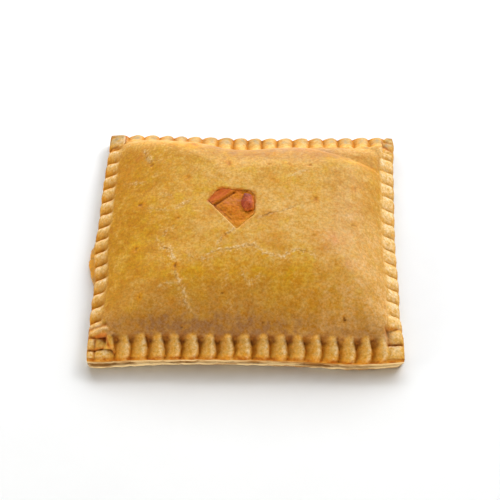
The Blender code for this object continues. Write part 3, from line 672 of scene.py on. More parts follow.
crust = {
    "name": "crust",
    "thick": 2.6,
    "rimStep": 0.36,
    "rimLines": (18, 22),  # in from the short and from the long sides
    "inner": (252, 217),  # columns and rows between the rims
    "ridgeLines": 15,
    "crowd": 0.4,
    "samples": 4001,  # along a side, to find its grooves
    "margin": 0.15,
    "leanFade": ((9, 11), (8, 8)),  # from the ends, where the grid turns from one side to the other
    "wallShares": (0.86, 0.7, 0.54, 0.38, 0.2, 0.0),
    "ventShares": (0.35, 1.0),
    "ventRange": 20,
    "cutRange": (16, 0.8),  # from the vent's centre, and past each of its edges
    "levels": {"top": 0, "wall": 1, "vent": 2, "ceiling": 3, "floor": 4},
    "seamClose": 0.2,
    "cavityInsets": (8.4, 9.6, 11.4, 15.0, 21.0),
    "cavityBlends": (0.3, 0.6, 0.85),
    # Colours as linear light.
    "mottle": {
        "Lighter": (0.585, 0.275, 0.008), "Deeper": (0.51, 0.222, 0.004), "Patch Scale": 95.0,
        "Grain Scale": 1000.0, "Grain": 0.0, "Flecks": (0.67, 0.39, 0.08), "Fleck Share": 0.85,
    },
    # Stains, and painted shade, sheen and highlights, in the order in which they lie on each other: the
    # attribute that says where, the colour, the scale of the grain that breaks it up and how much that
    # grain shows.
    "stains": (
        ("yellow", (0.585, 0.30, 0.004), 260.0, 0.5),
        # A paler top, partly a painted sheen.
        ("paleTopAndSheen", (0.645, 0.36, 0.083), 300.0, 0.7),
        ("deep", (0.50, 0.21, 0.002), 260.0, 0.7),
        ("tan", (0.66, 0.36, 0.10), 260.0, 0.6),
        # Browning with painted shade: the front wall above the crimps, darker towards the left and low on
        # the left, and the dome's back slope.
        ("toastAndPaintedLight", (0.35, 0.168, 0.058), 300.0, 0.35),
        ("orange", (0.52, 0.205, 0.002), 500.0, 0.3),
        ("reddish", (0.58, 0.22, 0.055), 400.0, 0.6),
        ("rim", (0.70, 0.39, 0.072), 300.0, 0.3),
        # Pale ridges, partly pale colour and partly painted light, with a painted highlight along each
        # crest.
        ("paleRidgesAndHighlight", (0.84, 0.58, 0.27), 700.0, 0.7),
        # Painted shade on the back ridges.
        ("browned", (0.36, 0.245, 0.105), 500.0, 0.5),
        ("warm", (0.75, 0.32, 0.014), 400.0, 0.4),
        # Grooves darkened: browning with painted shade.
        ("grooveBrowningAndShade", (0.42, 0.13, 0.006), 500.0, 0.3),
        # Painted shadow at the grooves' inner ends, under the dome.
        ("grooveEndShadow", (0.18, 0.06, 0.009), 400.0, 0.3),
        ("folds", (0.44, 0.12, 0.012), 500.0, 0.3),
        # The corner bars: a pale colour with a painted highlight.
        ("paleBarsAndHighlight", (0.84, 0.58, 0.27), 500.0, 0.3),
        ("ends", (0.33, 0.09, 0.005), 300.0, 0.5),
        ("ventStain", (0.58, 0.17, 0.012), 700.0, 0.6),
        ("flake", (0.76, 0.52, 0.23), 1400.0, 0.8),
        ("ring", (0.63, 0.262, 0.002), 700.0, 0.3),
        ("core", (0.46, 0.168, 0.003), 900.0, 0.4),
        ("dark", (0.18, 0.06, 0.009), 900.0, 0.3),
    ),
    "layers": {"Pale": (0.70, 0.56, 0.34), "Dark": (0.30, 0.14, 0.035), "Layers": 1000.0},
    "rough": (0.46, 0.56),  # of its lighter and its deeper patches
    "roughCut": 0.75,
    "roughDull": 1.0,
    "shine": 0.17,
    "grain": 0.155,
    "crumb": {"Scale": 1100.0, "Pores": 0.35},
    "bump": (0.5, 0.00012),  # its strength and its depth in metres
    "layerRise": 2.5,
    # Broad regions, each a sum of terms: the term's strength, and where it fades in along p or q,
    # in from a side or from the nearer short side, or up the dome.
    "regions": {
        "atFront": ((1.0, ("across", 5.0, 9.0)),),
        "atLeft": ((1.0, ("p", 30.0, -4.0), ("p", -56.0, -30.0)),),
        # Painted shade on the dome's back slope.
        "behind": ((0.52, ("back", 29.0, 21.0), ("p", -30.0, -12.0), ("p", 51.0, 35.0)),),
        # Painted shade low on the front left.
        "lowLeft": ((0.22, ("q", -24.0, -34.0), ("p", 30.0, -4.0), ("p", -56.0, -30.0)),),
        # Painted shade on the back ridges.
        "browned": ((0.8, ("back", 7.0, 4.5)),),
        # A paler top, partly a painted sheen.
        "paleTopAndSheen": (
            (1.0, ("q", -30.0, -8.0), ("p", -40.0, -5.0), ("q", 46.0, 18.0), ("dome", 0.1, 0.5)),
        ),
        "tan": (
            (0.8, ("right", 46.0, 14.0), ("q", 24.0, -14.0)),
            (0.4, ("q", -24.0, -44.0)),
            (0.65, ("q", 36.0, 46.0)),
        ),
        "deep": (
            (0.75, ("left", 36.0, 10.0)),
            (0.5, ("q", -20.0, -36.0)),
            (0.25, ("right", 24.0, 8.0)),
            (0.65, ("back", 29.0, 21.0), ("p", -30.0, -12.0), ("p", 51.0, 35.0)),
        ),
    },
    "deepSpots": ((43.0, 8.0, 9.0, 15.0, 0.6), (-34.0, -7.0, 7.0, 8.0, 0.45)),
    # The browned band above the front crimps, with painted shade that is darker towards the left.
    "toastBand": (9.6, 5.6),  # its middle and spread, in from the front
    "toastShare": (0.72, 0.4),  # everywhere, and what is added at the left
    # Unevenness of tones and of relief: strength, patch size and seed.
    "uneven": {
        "dome": ((0.26, 15.0, 1.0), (0.1, 5.0, 2.0)),
        "skin": ((0.035, 1.7, 4.0),),
        "rim": ((0.05, 2.6, 9.0),),
        "driftP": ((1.0, 2.1, 3.0),),
        "driftQ": ((1.0, 2.1, 8.0),),
        "jitterP": ((0.35, 0.95, 49.0),),
        "jitterQ": ((0.35, 0.95, 50.0),),
        "worn": ((1.5, 3.5, 6.0),),
        "crumbs": ((1.0, 0.8, 51.0),),
        "ventStain": ((0.4, 1.6, 46.0),),
        "cushionP": ((0.3, 3.0, 47.0),),
        "cushionQ": ((0.3, 3.0, 48.0),),
        "ends": ((0.5, 4.0, 12.0),),
        "toastAndPaintedLight": ((0.3, 4.5, 14.0), (0.2, 1.8, 15.0)),
        "behind": ((0.3, 4.5, 14.0),),
        "browned": ((0.4, 4.0, 56.0),),
        "paleTopAndSheen": ((0.3, 14.0, 16.0),),
        "tan": ((0.4, 7.0, 17.0),),
        "yellow": ((0.7, 13.0, 18.0), (0.8, 4.5, 19.0)),
        "deep": ((0.95, 8.0, 52.0), (0.45, 3.0, 53.0)),
        "edge": ((0.16, 3.0, 5.0),),
    },
    # What all cracks share: how sharply they taper, how dark they are, their line's width, their
    # flaked side's shift and width, the crumbs' width, how wear changes the line's darkness and
    # depth and the side, how pale and how high the side and the crumbs are.
    "crackShape": {
        "taper": 1.8, "dark": 0.8, "line": 0.8, "shift": (0.25, 0.55), "side": 1.3, "crumbs": 1.6,
        "wornDark": (0.25, 0.75), "wornDeep": (0.55, 0.45), "wornSide": 0.6,
        "pale": (1.1, 0.75), "high": (0.4, 0.12),
    },
    "pitRound": 0.9,  # how much narrower pits are across the depth
    "pitRing": (0.25, 1.6, 0.6),  # its height, and its place and spread as shares of the pit's size
    # A pit's masks: strength, and spread as a share of its size.
    "pitMasks": {"dark": (1.0, 0.65), "ring": (1.5, 2.1), "core": (1.2, 1.1)},
    # The vent's edges: the lip's place, width, height and paleness, where the part behind begins,
    # the stain's reach and strength and the rounding's reach and depth, each with what the part
    # behind adds.
    "ventEdge": {
        "lip": (0.45, 0.45, 0.16, 0.12), "behind": (3.0, 7.0),
        "stain": (1.3, 0.35, 0.5), "round": (0.7, 0.35, -0.1),
    },
    # For each side's crimps: the grooves' sharpness and darkness (browning with painted shade), how
    # pale the ridges are (pale colour with painted light), how orange their feet are, how pale their
    # crests are (a painted highlight), how warm the flanks are and how dark the grooves' inner ends are
    # (a painted shadow).
    "rimTones": {
        "front": (1.5, 0.9, 0.15, 0.8, 0.9, 0.6, 0.85),
        "back": (1.3, 0.9, 0.12, 0.4, 0.1, 0.7, 0.0),
        "left": (2.2, 1.0, 0.4, 0.4, 1.0, 1.0, 0.3),
        "right": (2.4, 0.8, 0.8, 0.2, 0.35, 0.35, 0.0),
    },
    # Lines in the crust: width, depth, darkness, how pale their flaked side is, and their points.
    "lines": (
        (0.5, 0.3, 0.8, 0.6, ((-46.3, 39.8), (-43.9, 35.9), (-42.5, 33.3), (-40.8, 29.5))),
        (0.3, 0.12, 0.35, 0.2, ((-40.4, 31.9), (-36.4, 30.7))),
        (0.35, 0.15, 0.4, 0.2, ((-39.3, 25.2), (-38.6, 22.5))),
        (0.35, 0.15, 0.25, 0.4, ((-52.8, 23.6), (-47, 21.6), (-41.4, 20.6))),
        (0.35, 0.12, 0.2, 0.4, ((-36.1, 14.7), (-30.6, 10))),
        (0.4, 0.15, 0.35, 0.6, ((-30.3, 5), (-26.4, 7.3), (-22.3, 9.9))),
        (0.3, 0.10, 0.2, 0.3, ((-43, 7.2), (-36.6, 5.8), (-30.1, 3.7))),
        (0.35, 0.14, 0.35, 0.4, ((-28.2, -1.9), (-31.6, -5), (-34.8, -7.8))),
        (
            0.42, 0.30, 0.5, 0.8,
            (
                (-37.3, -7.4), (-33.8, -12.8), (-30.5, -14.9), (-30.5, -17.7), (-28.3, -21),
                (-28.3, -23.2), (-28.7, -26.4), (-26.4, -30.2), (-24.4, -35.6), (-23.2, -39.7),
                (-19.2, -43.5),
            ),
        ),
        (0.35, 0.2, 0.35, 0.5, ((-35.6, -31.4), (-31.7, -31), (-27.7, -30.2))),
        (
            0.4, 0.26, 0.42, 0.8,
            (
                (-24.6, -21.8), (-20.3, -20.7), (-16.3, -19.6), (-13.5, -16.5), (-7.1, -15.9),
                (0.9, -13.7), (4.6, -15.4), (6.2, -17.6), (12.1, -18.9), (14.9, -19.8), (17, -17.6),
                (19.8, -15.9), (22.6, -16.5), (25.9, -17.4), (28.5, -20), (32.9, -20.8),
            ),
        ),
        (0.35, 0.18, 0.35, 0.5, ((-24.7, -16.5), (-22.7, -18.6), (-20.8, -20))),
        (0.3, 0.1, 0.15, 0.35, ((-8.4, -24), (-8.1, -32.1))),
        (0.3, 0.1, 0.15, 0.35, ((-6.3, -35.6), (-6.2, -42.4))),
        (0.3, 0.1, 0.1, 0.5, ((-2.6, -23.7), (1.2, -31.9))),
        (0.3, 0.1, 0.1, 0.5, ((6.6, -25.7), (1.2, -31.3))),
        (0.35, 0.12, 0.15, 0.5, ((15.6, 20.1), (20.9, 22.3), (26.2, 25.1))),
        (0.35, 0.12, 0.3, 0.4, ((39.9, 3.6), (43.6, 0.1))),
        (0.5, 0.3, 0.75, 0.35, ((2.9, 0.1), (4.1, -0.9), (6.5, 0.2), (9.5, 1.7), (15.1, 3.3), (21.6, 6.5))),
        (0.4, 0.3, 0.9, 0.8, ((-3.8, -5.3), (-6.0, -7.2), (-8.2, -8.6), (-10.4, -11.0), (-12.4, -14.6))),
    ),
    # Folds that part the corners into small cushions: width, depth, darkness, points.
    "folds": (
        (0.5, 0.6, 0.6, ((-62.4, -43.5), (-58.6, -43.3), (-55.4, -43.6))),
        (0.5, 0.65, 0.85, ((-62.2, -47.2), (-58.6, -47.3), (-55.4, -47.9))),
        (0.4, 0.45, 0.6, ((-59.2, -48.4), (-59.3, -52.4))),
        (0.35, 0.45, 0.8, ((-55.4, -47.9), (-54.0, -51.0), (-51.8, -54.2))),
        (0.45, 0.55, 0.7, ((-61.9, -52.4), (-59.0, -52.4), (-56.2, -52.0))),
        (0.4, 0.35, 0.45, ((-59.3, -53.0), (-59.4, -55.8))),
        (0.4, 0.5, 0.6, ((55.3, -43.8), (55.4, -47.0), (55.5, -49.8))),
        (0.45, 0.55, 0.8, ((55.8, -49.9), (58.6, -49.9), (61.6, -49.7))),
        (0.4, 0.35, 0.45, ((55.6, -43.9), (58.4, -43.3), (61.6, -42.9))),
        (0.45, 0.55, 0.7, ((-55.4, 56.0), (-55.2, 52.5), (-55.0, 49.6))),
        (0.5, 0.55, 0.7, ((-62.3, 47.8), (-58.6, 48.4), (-55.2, 49.4))),
        (0.3, 0.3, 0.45, ((-62.0, 54.4), (-59.6, 54.6))),
        (0.4, 0.4, 0.5, ((57.9, 56.0), (57.4, 53.4), (57.6, 50.6))),
        (0.45, 0.45, 0.6, ((57.4, 51.0), (59.4, 49.6), (62.2, 48.0))),
        (0.3, 0.3, 0.6, ((58.2, 53.6), (60.0, 52.4), (61.6, 52.6))),
    ),
    # Small ridges in the corners: width, height, how pale (a pale colour with a painted highlight), points.
    "bars": (
        (0.75, 0.6, 0.5, ((-62.4, -45.5), (-58.8, -45.3), (-55.2, -45.4))),
        (0.4, 0.35, 0.7, ((55.3, -48.0), (55.5, -51.6), (55.4, -54.8))),
        (0.3, 0.2, 0.8, ((56.4, -50.6), (58.8, -50.7), (61.4, -50.6))),
        (0.35, 0.2, 0.6, ((-56.0, 55.2), (-55.9, 50.6))),
    ),
    # Cushions in the corners: their box, the height at the outer and the inner corner, the puff
    # and how pale they are: a pale colour with a painted highlight on the puffed middle.
    "cushions": (
        (-62.5, -55.5, 48.4, 56.5, 4.6, 6.6, 0.6, 0.35), (57.9, 62.5, 46.4, 56.5, 4.8, 6.3, 0.5, 0.5),
        (-62.4, -59.3, -52.4, -47.6, 5.4, 6.6, 0.5, 0.5), (-59.3, -55.2, -52.4, -47.8, 6.1, 7.1, 0.5, 0.1),
        (-62.4, -59.3, -56.4, -52.4, 4.9, 5.6, 0.5, 0.7), (-59.3, -52.4, -56.4, -52.4, 5.1, 6.1, 0.6, 0.5),
        (55.9, 62.2, -49.9, -43.7, 5.6, 7.2, 0.6, 0.5), (56.1, 62.3, -56.3, -49.9, 5.0, 6.2, 0.6, 0.5),
    ),
    # Small holes and blisters: place, size, depth, darkness, orange ring.
    "pits": (
        (-40.8, 29.5, 0.8, 0.3, 0.5, 0.6), (-23.6, 40.9, 1.2, 0.1, 0.15, 0.9),
        (-24.9, 20.3, 0.8, 0.2, 0.3, 0.6), (-8.1, 28.1, 0.9, 0.2, 0.2, 0.8),
        (11.1, 35.3, 0.7, 0.2, 0.3, 0.4), (9.1, 27.6, 0.7, 0.2, 0.3, 0.4),
        (17.4, 27.7, 0.7, 0.2, 0.3, 0.4), (25.8, 26.8, 0.7, 0.2, 0.3, 0.4),
        (10.8, 19.0, 0.8, 0.1, 0.1, 0.5), (28.1, 9.8, 0.9, 0.2, 0.3, 0.7), (-8.8, -9.3, 0.7, 0.3, 0.7, 0.6),
        (44.8, 17.2, 0.7, 0.2, 0.3, 0.6), (44.1, -1.2, 0.7, 0.2, 0.3, 0.5),
        (27.2, -9.3, 0.7, 0.1, 0.2, 0.5), (-44.2, 10.1, 0.9, 0.3, 0.5, 0.7),
        (-27.8, 0.6, 0.7, 0.2, 0.35, 0.4), (-44.8, -11.9, 0.8, 0.3, 0.5, 0.6),
        (-9.3, -8.4, 0.7, 0.25, 0.5, 0.4), (-28.4, -22.9, 0.8, 0.3, 0.7, 0.9),
        (-41.9, -34.8, 0.8, 0.2, 0.35, 0.7), (-29.1, -37.5, 0.7, 0.2, 0.35, 0.4),
        (-9.0, -33.7, 0.6, 0.5, 0.95, 0.3), (-0.2, -41.8, 0.6, 0.3, 0.5, 0.3),
        (-25.2, -45.9, 0.65, 0.5, 1.0, 0.0), (7.1, -44.2, 0.6, 0.4, 0.9, 0.2),
        (38.9, -42.7, 0.7, 0.5, 1.0, 0.2), (55.7, -34.2, 0.5, 0.3, 0.7, 0.2),
    ),
    # Patches of colour: place, spread, and how orange and how reddish they are.
    "patches": (
        (-14.2, 3.0, 2.6, 0.9, 0.0), (9.5, 1.5, 2.2, 0.9, 0.0), (5.0, 0.2, 1.3, 0.8, 0.1),
        (-46.5, 35.5, 3.4, 0.6, 0.25), (-51.0, 29.0, 7.0, 0.5, 0.1),
        (10.3, -11.2, 5.5, 0.5, 0.0), (41.7, -21.9, 2.2, 0.0, 0.7),
        (35.0, -10.6, 4.2, 0.0, 0.6), (26.8, -9.5, 3.2, 0.0, 0.5), (31.0, -14.6, 2.6, 0.3, 0.5),
        (46.8, 11.0, 2.0, 0.5, 0.0), (52.0, 30.4, 3.4, 0.5, 0.0),
        (-23.6, 40.9, 2.2, 0.2, 0.5), (48.0, 33.0, 2.5, 0.4, 0.2), (24.0, 40.0, 6.0, 0.0, 0.25),
        (60.6, -56.4, 1.5, 0.9, 0.3), (58.2, -51.9, 1.2, 0.4, 0.0),
    ),
}


def sideLines(side, inner, count):
    c = np.linspace(-inner, inner, crust["samples"])
    counts = grooveCount(side, c)
    margin = crust["margin"]
    whole = np.arange(math.ceil(counts[0] + margin), math.floor(counts[-1] - margin) + 1)
    grooves = np.interp(whole, counts, c)
    spare = count - (len(whole) - 1) * crust["ridgeLines"] - 1
    ends = (grooves[0] + inner, inner - grooves[-1])
    lead = int(np.clip(round(spare * ends[0] / sum(ends)), 1, spare - 1))
    share = np.arange(crust["ridgeLines"]) / crust["ridgeLines"]
    phase = share - crust["crowd"] * np.sin(2 * math.pi * share) / (2 * math.pi)
    middle = [np.interp(k + phase, counts, c) for k in whole[:-1]]
    start = np.linspace(-inner, grooves[0], lead + 1, endpoint=False)[1:]
    end = np.linspace(grooves[-1], inner, spare - lead + 2)[1:-1]
    return np.concatenate([start, *middle, grooves[-1:], end])


def gridLines(half, rimLines, inner, pair):
    rim = half - crust["rimStep"] * np.arange(rimLines)
    return [np.concatenate([-rim, sideLines(side, rim[-1], inner), rim[::-1]]) for side in pair]


def layOutCrust(bm, level):
    front, back = gridLines(halfWidth, crust["rimLines"][0], crust["inner"][0], ("front", "back"))
    left, right = gridLines(halfDepth, crust["rimLines"][1], crust["inner"][1], ("left", "right"))
    columns, rows = len(front) - 1, len(left) - 1
    verts = bmesh.ops.create_grid(bm, x_segments=columns, y_segments=rows, size=0.5)["verts"]
    (nearFront, nearBack), (nearLeft, nearRight) = crust["leanFade"]
    toBack = smoothStep(nearFront - halfDepth, halfDepth - nearBack, (left + right) / 2)
    toRight = smoothStep(nearLeft - halfWidth, halfWidth - nearRight, (front + back) / 2)
    for vert in verts:
        i, j = round((vert.co.x + 0.5) * columns), round((vert.co.y + 0.5) * rows)
        vert.co.x = front[i] + (back[i] - front[i]) * toBack[j]
        vert.co.y = left[j] + (right[j] - left[j]) * toRight[i]
        vert[level] = 0


# Cuts the vent's outline through the grid and takes out what lies inside it.
def cutVent(bm):
    wide, beside = crust["cutRange"]
    near = [f for f in bm.faces if (f.calc_center_median().xy - Vector(ventCentre)).length < wide]
    for a, b in ventEdges:
        middle, half = Vector((a + b) / 2), np.linalg.norm(b - a) / 2
        crossed = {f for f in near if (f.calc_center_median().xy - middle).length < half + beside}
        edges = {e for f in crossed for e in f.edges}
        geom = list(crossed | edges | {v for f in crossed for v in f.verts})
        normal = Vector((b[1] - a[1], a[0] - b[0], 0)).normalized()
        found = bmesh.ops.bisect_plane(bm, geom=geom, dist=0.01, plane_co=(*a, 0), plane_no=normal)
        fresh = {g for g in found["geom"] if isinstance(g, bmesh.types.BMFace)}
        near = list({f for f in near if f.is_valid} | fresh)
    middles = np.array([f.calc_center_median().xy for f in near])
    inside = fromVent(middles[:, 0], middles[:, 1]) < 0
    gone = [f for f, lies in zip(near, inside) if lies]
    bmesh.ops.delete(bm, geom=gone, context="FACES")


# How uneven a place is in one of the crust's ways.
def crustWaver(name, p, q):
    return waver(p, q, crust["uneven"][name])


# Keeps the higher of a mask and a new value.
def overlay(made, key, value):
    made[key] = np.maximum(made[key], value)


# The corners' folds and small ridges.
def cornerRelief(p, q, drift, made):
    relief = 0.0 * p
    for width, deep, dark, points in crust["folds"]:
        away = fromLine(p + 0.2 * drift[0], q + 0.2 * drift[1], points)[0]
        relief = relief - 0.5 * deep * bump(away, 0.0, width) - 0.4 * deep * bump(away, 0.0, 2.4 * width)
        overlay(made, "folds", np.clip(1.2 * dark, 0, 1) * bump(away, 0.0, 1.3 * width))
    for width, high, pale, points in crust["bars"]:
        away = fromLine(p + 0.15 * drift[0], q + 0.15 * drift[1], points)[0]
        relief = relief + high * bump(away, 0.0, width)
        # The bars' pale colour with a painted highlight.
        overlay(made, "paleBarsAndHighlight", pale * bump(away, 0.0, 0.9 * width))
    return relief


# Cracks that are worn in places, with a flaked side and crumbs beside them.
def crackRelief(p, q, worn, crumbly, made):
    relief, shape = 0.0 * p, crust["crackShape"]
    shiftP, shiftQ = shape["shift"]
    leastDark, moreDark = shape["wornDark"]
    leastDeep, moreDeep = shape["wornDeep"]
    for width, deep, dark, pale, points in crust["lines"]:
        away, share = fromLine(p, q, points)
        taper = np.clip(np.sin(math.pi * np.clip(share, 0.02, 0.98)) * shape["taper"], 0, 1)
        line = bump(away, 0.0, shape["line"] * width) * taper
        overlay(made, "dark", shape["dark"] * dark * line * (leastDark + moreDark * worn))
        beside = fromLine(p - shiftP, q - shiftQ, points)[0]
        edge = bump(beside, 0.0, shape["side"] * width) * taper * (1 - shape["wornSide"] * worn)
        crumbs = crumbly * bump(away, 0.0, shape["crumbs"]) * taper
        overlay(made, "flake", pale * np.maximum(shape["pale"][0] * edge, shape["pale"][1] * crumbs))
        relief = relief - deep * line * (leastDeep + moreDeep * worn)
        relief = relief + shape["high"][0] * deep * edge + shape["high"][1] * pale * crumbs
    return relief


# Small holes and blisters, each with a raised and coloured ring, and patches of colour.
def pitRelief(p, q, worn, made):
    relief = 0.0 * p
    for placeP, placeQ, size, deep, dark, ring in crust["pits"]:
        away = np.hypot(p - placeP, (q - placeQ) * crust["pitRound"])
        high, place, spread = crust["pitRing"]
        relief = relief - deep * bump(away, 0.0, size)
        relief = relief + high * deep * bump(away, place * size, spread * size)
        for key, strength in (("dark", dark), ("ring", ring), ("core", ring)):
            gain, wide = crust["pitMasks"][key]
            overlay(made, key, gain * strength * bump(away, 0.0, size * wide))
    for placeP, placeQ, spread, orange, reddish in crust["patches"]:
        mask = bump(np.hypot(p - placeP, q - placeQ), 0.0, spread) * (0.6 + 0.4 * worn)
        overlay(made, "orange", 1.25 * orange * mask)
        overlay(made, "reddish", reddish * mask)
    return relief


# The vent's edges: rounded over, with a raised pale lip on the left of its front corner.
def ventRelief(p, q, made):
    place, wide, high, pale = crust["ventEdge"]["lip"]
    stainReach, stain, stainBehind = crust["ventEdge"]["stain"]
    roundReach, deep, deepBehind = crust["ventEdge"]["round"]
    out = fromVent(p, q)
    beside, share = fromLine(p, q, (dough["vent"][0][:2], dough["vent"][1][:2]))
    lip = bump(beside, place, wide) * smoothStep(-0.2, 0.1, out) * smoothStep(0.0, 0.12, share)
    behind = smoothStep(*crust["ventEdge"]["behind"], q - 0.3 * p)
    overlay(made, "flake", pale * lip)
    near = 1 - smoothStep(0.0, stainReach, out + crustWaver("ventStain", p, q))
    made["ventStain"] = near * (1 - lip) * (stain + stainBehind * behind)
    rounded = (deep + deepBehind * behind) * (1 - smoothStep(0.0, roundReach, out))
    return high * lip * (1 - smoothStep(0.8, 1.0, share)) - rounded


# The crust's fine relief and the masks of the marks that go with it.
def crustRelief(p, q):
    keys = ("dark", "flake", "orange", "reddish", "folds", "paleBarsAndHighlight", "ring", "core")
    made = {key: 0.0 * p for key in keys}
    dome = smoothStep(6.0, 11.0, fromNearest(p, q))
    drift = crustWaver("driftP", p, q), crustWaver("driftQ", p, q)
    bentP = p + 0.6 * drift[0] + crustWaver("jitterP", p, q)
    bentQ = q + 0.6 * drift[1] + crustWaver("jitterQ", p, q)
    worn = 0.5 + 0.5 * np.clip(crustWaver("worn", p, q), -1, 1)
    crumbly = smoothStep(0.15, 0.5, crustWaver("crumbs", p, q))
    relief = dome * crustWaver("dome", p, q) + crustWaver("skin", p, q)
    relief = relief + (1 - dome) * crustWaver("rim", p, q)
    relief = relief + cornerRelief(p, q, drift, made)
    relief = relief + crackRelief(bentP, bentQ, worn, crumbly, made)
    relief = relief + pitRelief(bentP, bentQ, worn, made)
    return relief + ventRelief(p, q, made), made


# The corners' cushions: each place's share in one, its height and how pale it is, with a
# painted highlight on each puffed middle.
def cornerCushions(p, q):
    share, height, pale = 0.0 * p, 0.0 * p, 0.0 * p
    bentP, bentQ = p + crustWaver("cushionP", p, q), q + crustWaver("cushionQ", p, q)
    for lowP, highP, lowQ, highQ, outer, inner, puff, light in crust["cushions"]:
        acrossP, acrossQ = (bentP - lowP) / (highP - lowP), (bentQ - lowQ) / (highQ - lowQ)
        inset = np.minimum.reduce([bentP - lowP, highP - bentP, bentQ - lowQ, highQ - bentQ])
        mask = smoothStep(-0.8, 0.1, inset)
        fromP = acrossP if lowP < 0 else 1 - acrossP
        fromQ = acrossQ if lowQ < 0 else 1 - acrossQ
        inward = np.clip(0.5 * (fromP + fromQ), 0.0, 1.0)
        puffed = 1 - np.clip(abs(2 * acrossP - 1), 0, 1) ** 3
        puffed = puffed * (1 - np.clip(abs(2 * acrossQ - 1), 0, 1) ** 3)
        height = np.where(mask > share, outer + (inner - outer) * inward + puff * puffed - 0.3, height)
        pale = np.where(mask > share, light * puffed, pale)
        share = np.maximum(share, mask)
    return share, height, pale


# The tones of the crimps: grooves browned and darkened with painted shade, a painted shadow at
# their inner ends, warm flanks, pale ridges with painted highlights and browned feet.
def crimpTones(p, q, s, nearest):
    made = {key: 0.0 * p for key in ("warm", "grooveBrowningAndShade", "grooveEndShadow", "ends", "rim", "paleRidgesAndHighlight", "dull")}
    footTone = 0.85 + crustWaver("ends", p, q)
    for side, away in s.items():
        _, up, phase, shown, end = crimpMarks(side, p, q)
        here = 1 - smoothStep(0.0, 1.2, away - nearest)
        low, dark, pale, foot, crest, warm, grooveEndShadow = crust["rimTones"][side]
        # Grooves: browning with painted shade.
        made["grooveBrowningAndShade"] += dark * shown * (1 - up) ** low
        made["warm"] += warm * shown * np.maximum((1 - up) ** 0.7, 0.7 * smoothStep(0.6, 0.15, phase))
        # Painted shadow at the grooves' inner ends, under the dome.
        inEnd = smoothStep(end - 3.0, end - 1.2, away) * (1 - smoothStep(end - 0.1, end + 1.3, away))
        made["grooveEndShadow"] += grooveEndShadow * inEnd * np.clip(1.6 * (1 - up), 0, 1) * here
        arch = end + 0.4 - 1.5 * (1 - up)
        overlay(made, "rim", here * (1 - smoothStep(arch - 0.7, arch + 0.7, away)))
        # Pale ridges with painted light, and a painted highlight along each crest.
        made["paleRidgesAndHighlight"] += shown * (pale * up + crest * bump(phase, 0.82, 0.11))
        made["ends"] += foot * (1 - smoothStep(0.3, 1.0 + 0.8 * (1 - up), away)) * here * footTone
        made["warm"] += 0.3 * foot * bump(away, 0.5, 1.2) * here
        grooved = np.maximum(1 - up, bump(away, 0.0, 2.2))
        made["dull"] += here * (1 - smoothStep(end - 0.5, end + 1.5, away)) * grooved
    made["rim"] *= 0.75
    cushioned, _, light = cornerCushions(p, q)
    made["paleRidgesAndHighlight"] = made["paleRidgesAndHighlight"] * (1 - cushioned) + light * cushioned
    for key in ("grooveBrowningAndShade", "grooveEndShadow"):
        made[key] = np.clip(made[key], 0, 1) * (1 - cushioned)
    for key in ("warm", "ends", "dull"):
        made[key] = np.clip(made[key], 0, 1)
    return made


# A region of the crust: the sum of its parts, each a strength and the fades that bound it.
def region(name, where):
    total = 0.0
    for strength, *fades in crust["regions"][name]:
        for axis, low, high in fades:
            strength = strength * smoothStep(low, high, where[axis])
        total = total + strength
    return total


# The crust's broad tones, as masks for its stains, its painted shade and its painted sheen.
def crustTones(p, q):
    s = fromEdges(p, q)
    made = crimpTones(p, q, s, fromNearest(p, q))
    where = {"p": p, "q": q, "dome": domeShare(p, q), "across": np.minimum(s["left"], s["right"]), **s}
    tones = {name: region(name, where) for name in crust["regions"]}
    offRim = 1 - made["rim"]
    everywhere, more = crust["toastShare"]
    # Browning with painted shade on the front wall, low on the left and on the dome's back slope.
    band = bump(s["front"], *crust["toastBand"]) * tones["atFront"] * (everywhere + more * tones["atLeft"])
    toastAndPaintedLight = band * (0.68 + crustWaver("toastAndPaintedLight", p, q)) + tones["lowLeft"]
    made["toastAndPaintedLight"] = (toastAndPaintedLight + tones["behind"] * (0.9 + crustWaver("behind", p, q))) * offRim
    # Painted shade on the back ridges.
    made["browned"] = tones["browned"] * (0.8 + crustWaver("browned", p, q))
    # A paler top, partly a painted sheen.
    made["paleTopAndSheen"] = tones["paleTopAndSheen"] * (0.5 + crustWaver("paleTopAndSheen", p, q))
    made["tan"] = tones["tan"] * offRim * (0.8 + crustWaver("tan", p, q))
    onDome = smoothStep(0.1, 0.5, where["dome"])
    made["yellow"] = 0.8 * smoothStep(-0.2, 0.6, crustWaver("yellow", p, q)) * onDome
    deep = tones["deep"]
    for placeP, placeQ, spreadP, spreadQ, strength in crust["deepSpots"]:
        deep = deep + strength * bump(p, placeP, spreadP) * bump(q, placeQ, spreadQ)
    made["deep"] = deep * (0.78 + crustWaver("deep", p, q)) * offRim
    return made


def crustMaterial():
    material, tree, shader, place = newMaterial("baked crust")
    mottled = useGroup(tree, "mottle", {"Vector": place, **crust["mottle"]})
    color = stained(tree, place, mottled["Color"], crust["stains"])
    inputs = {"Grain": crust["grain"], "Color": color, "Vector": place}
    color = useGroup(tree, "grain", inputs)["Color"]
    layers = useGroup(tree, "layer", {"Vector": place, **crust["layers"]})
    cut = attribute(tree, "cut")
    color = mixColor(tree, cut, color, layers["Color"])
    matte = mapRange(tree, mottled["Patches"], 0.0, 1.0, *crust["rough"])
    matte = mapRange(tree, attribute(tree, "dull"), 0.0, 1.0, matte, crust["roughDull"])
    rough = mapRange(tree, cut, 0.0, 1.0, matte, crust["roughCut"])
    fillShader(tree, shader, place, crust, color, rough, times(tree, layers["Height"], cut))
    return material


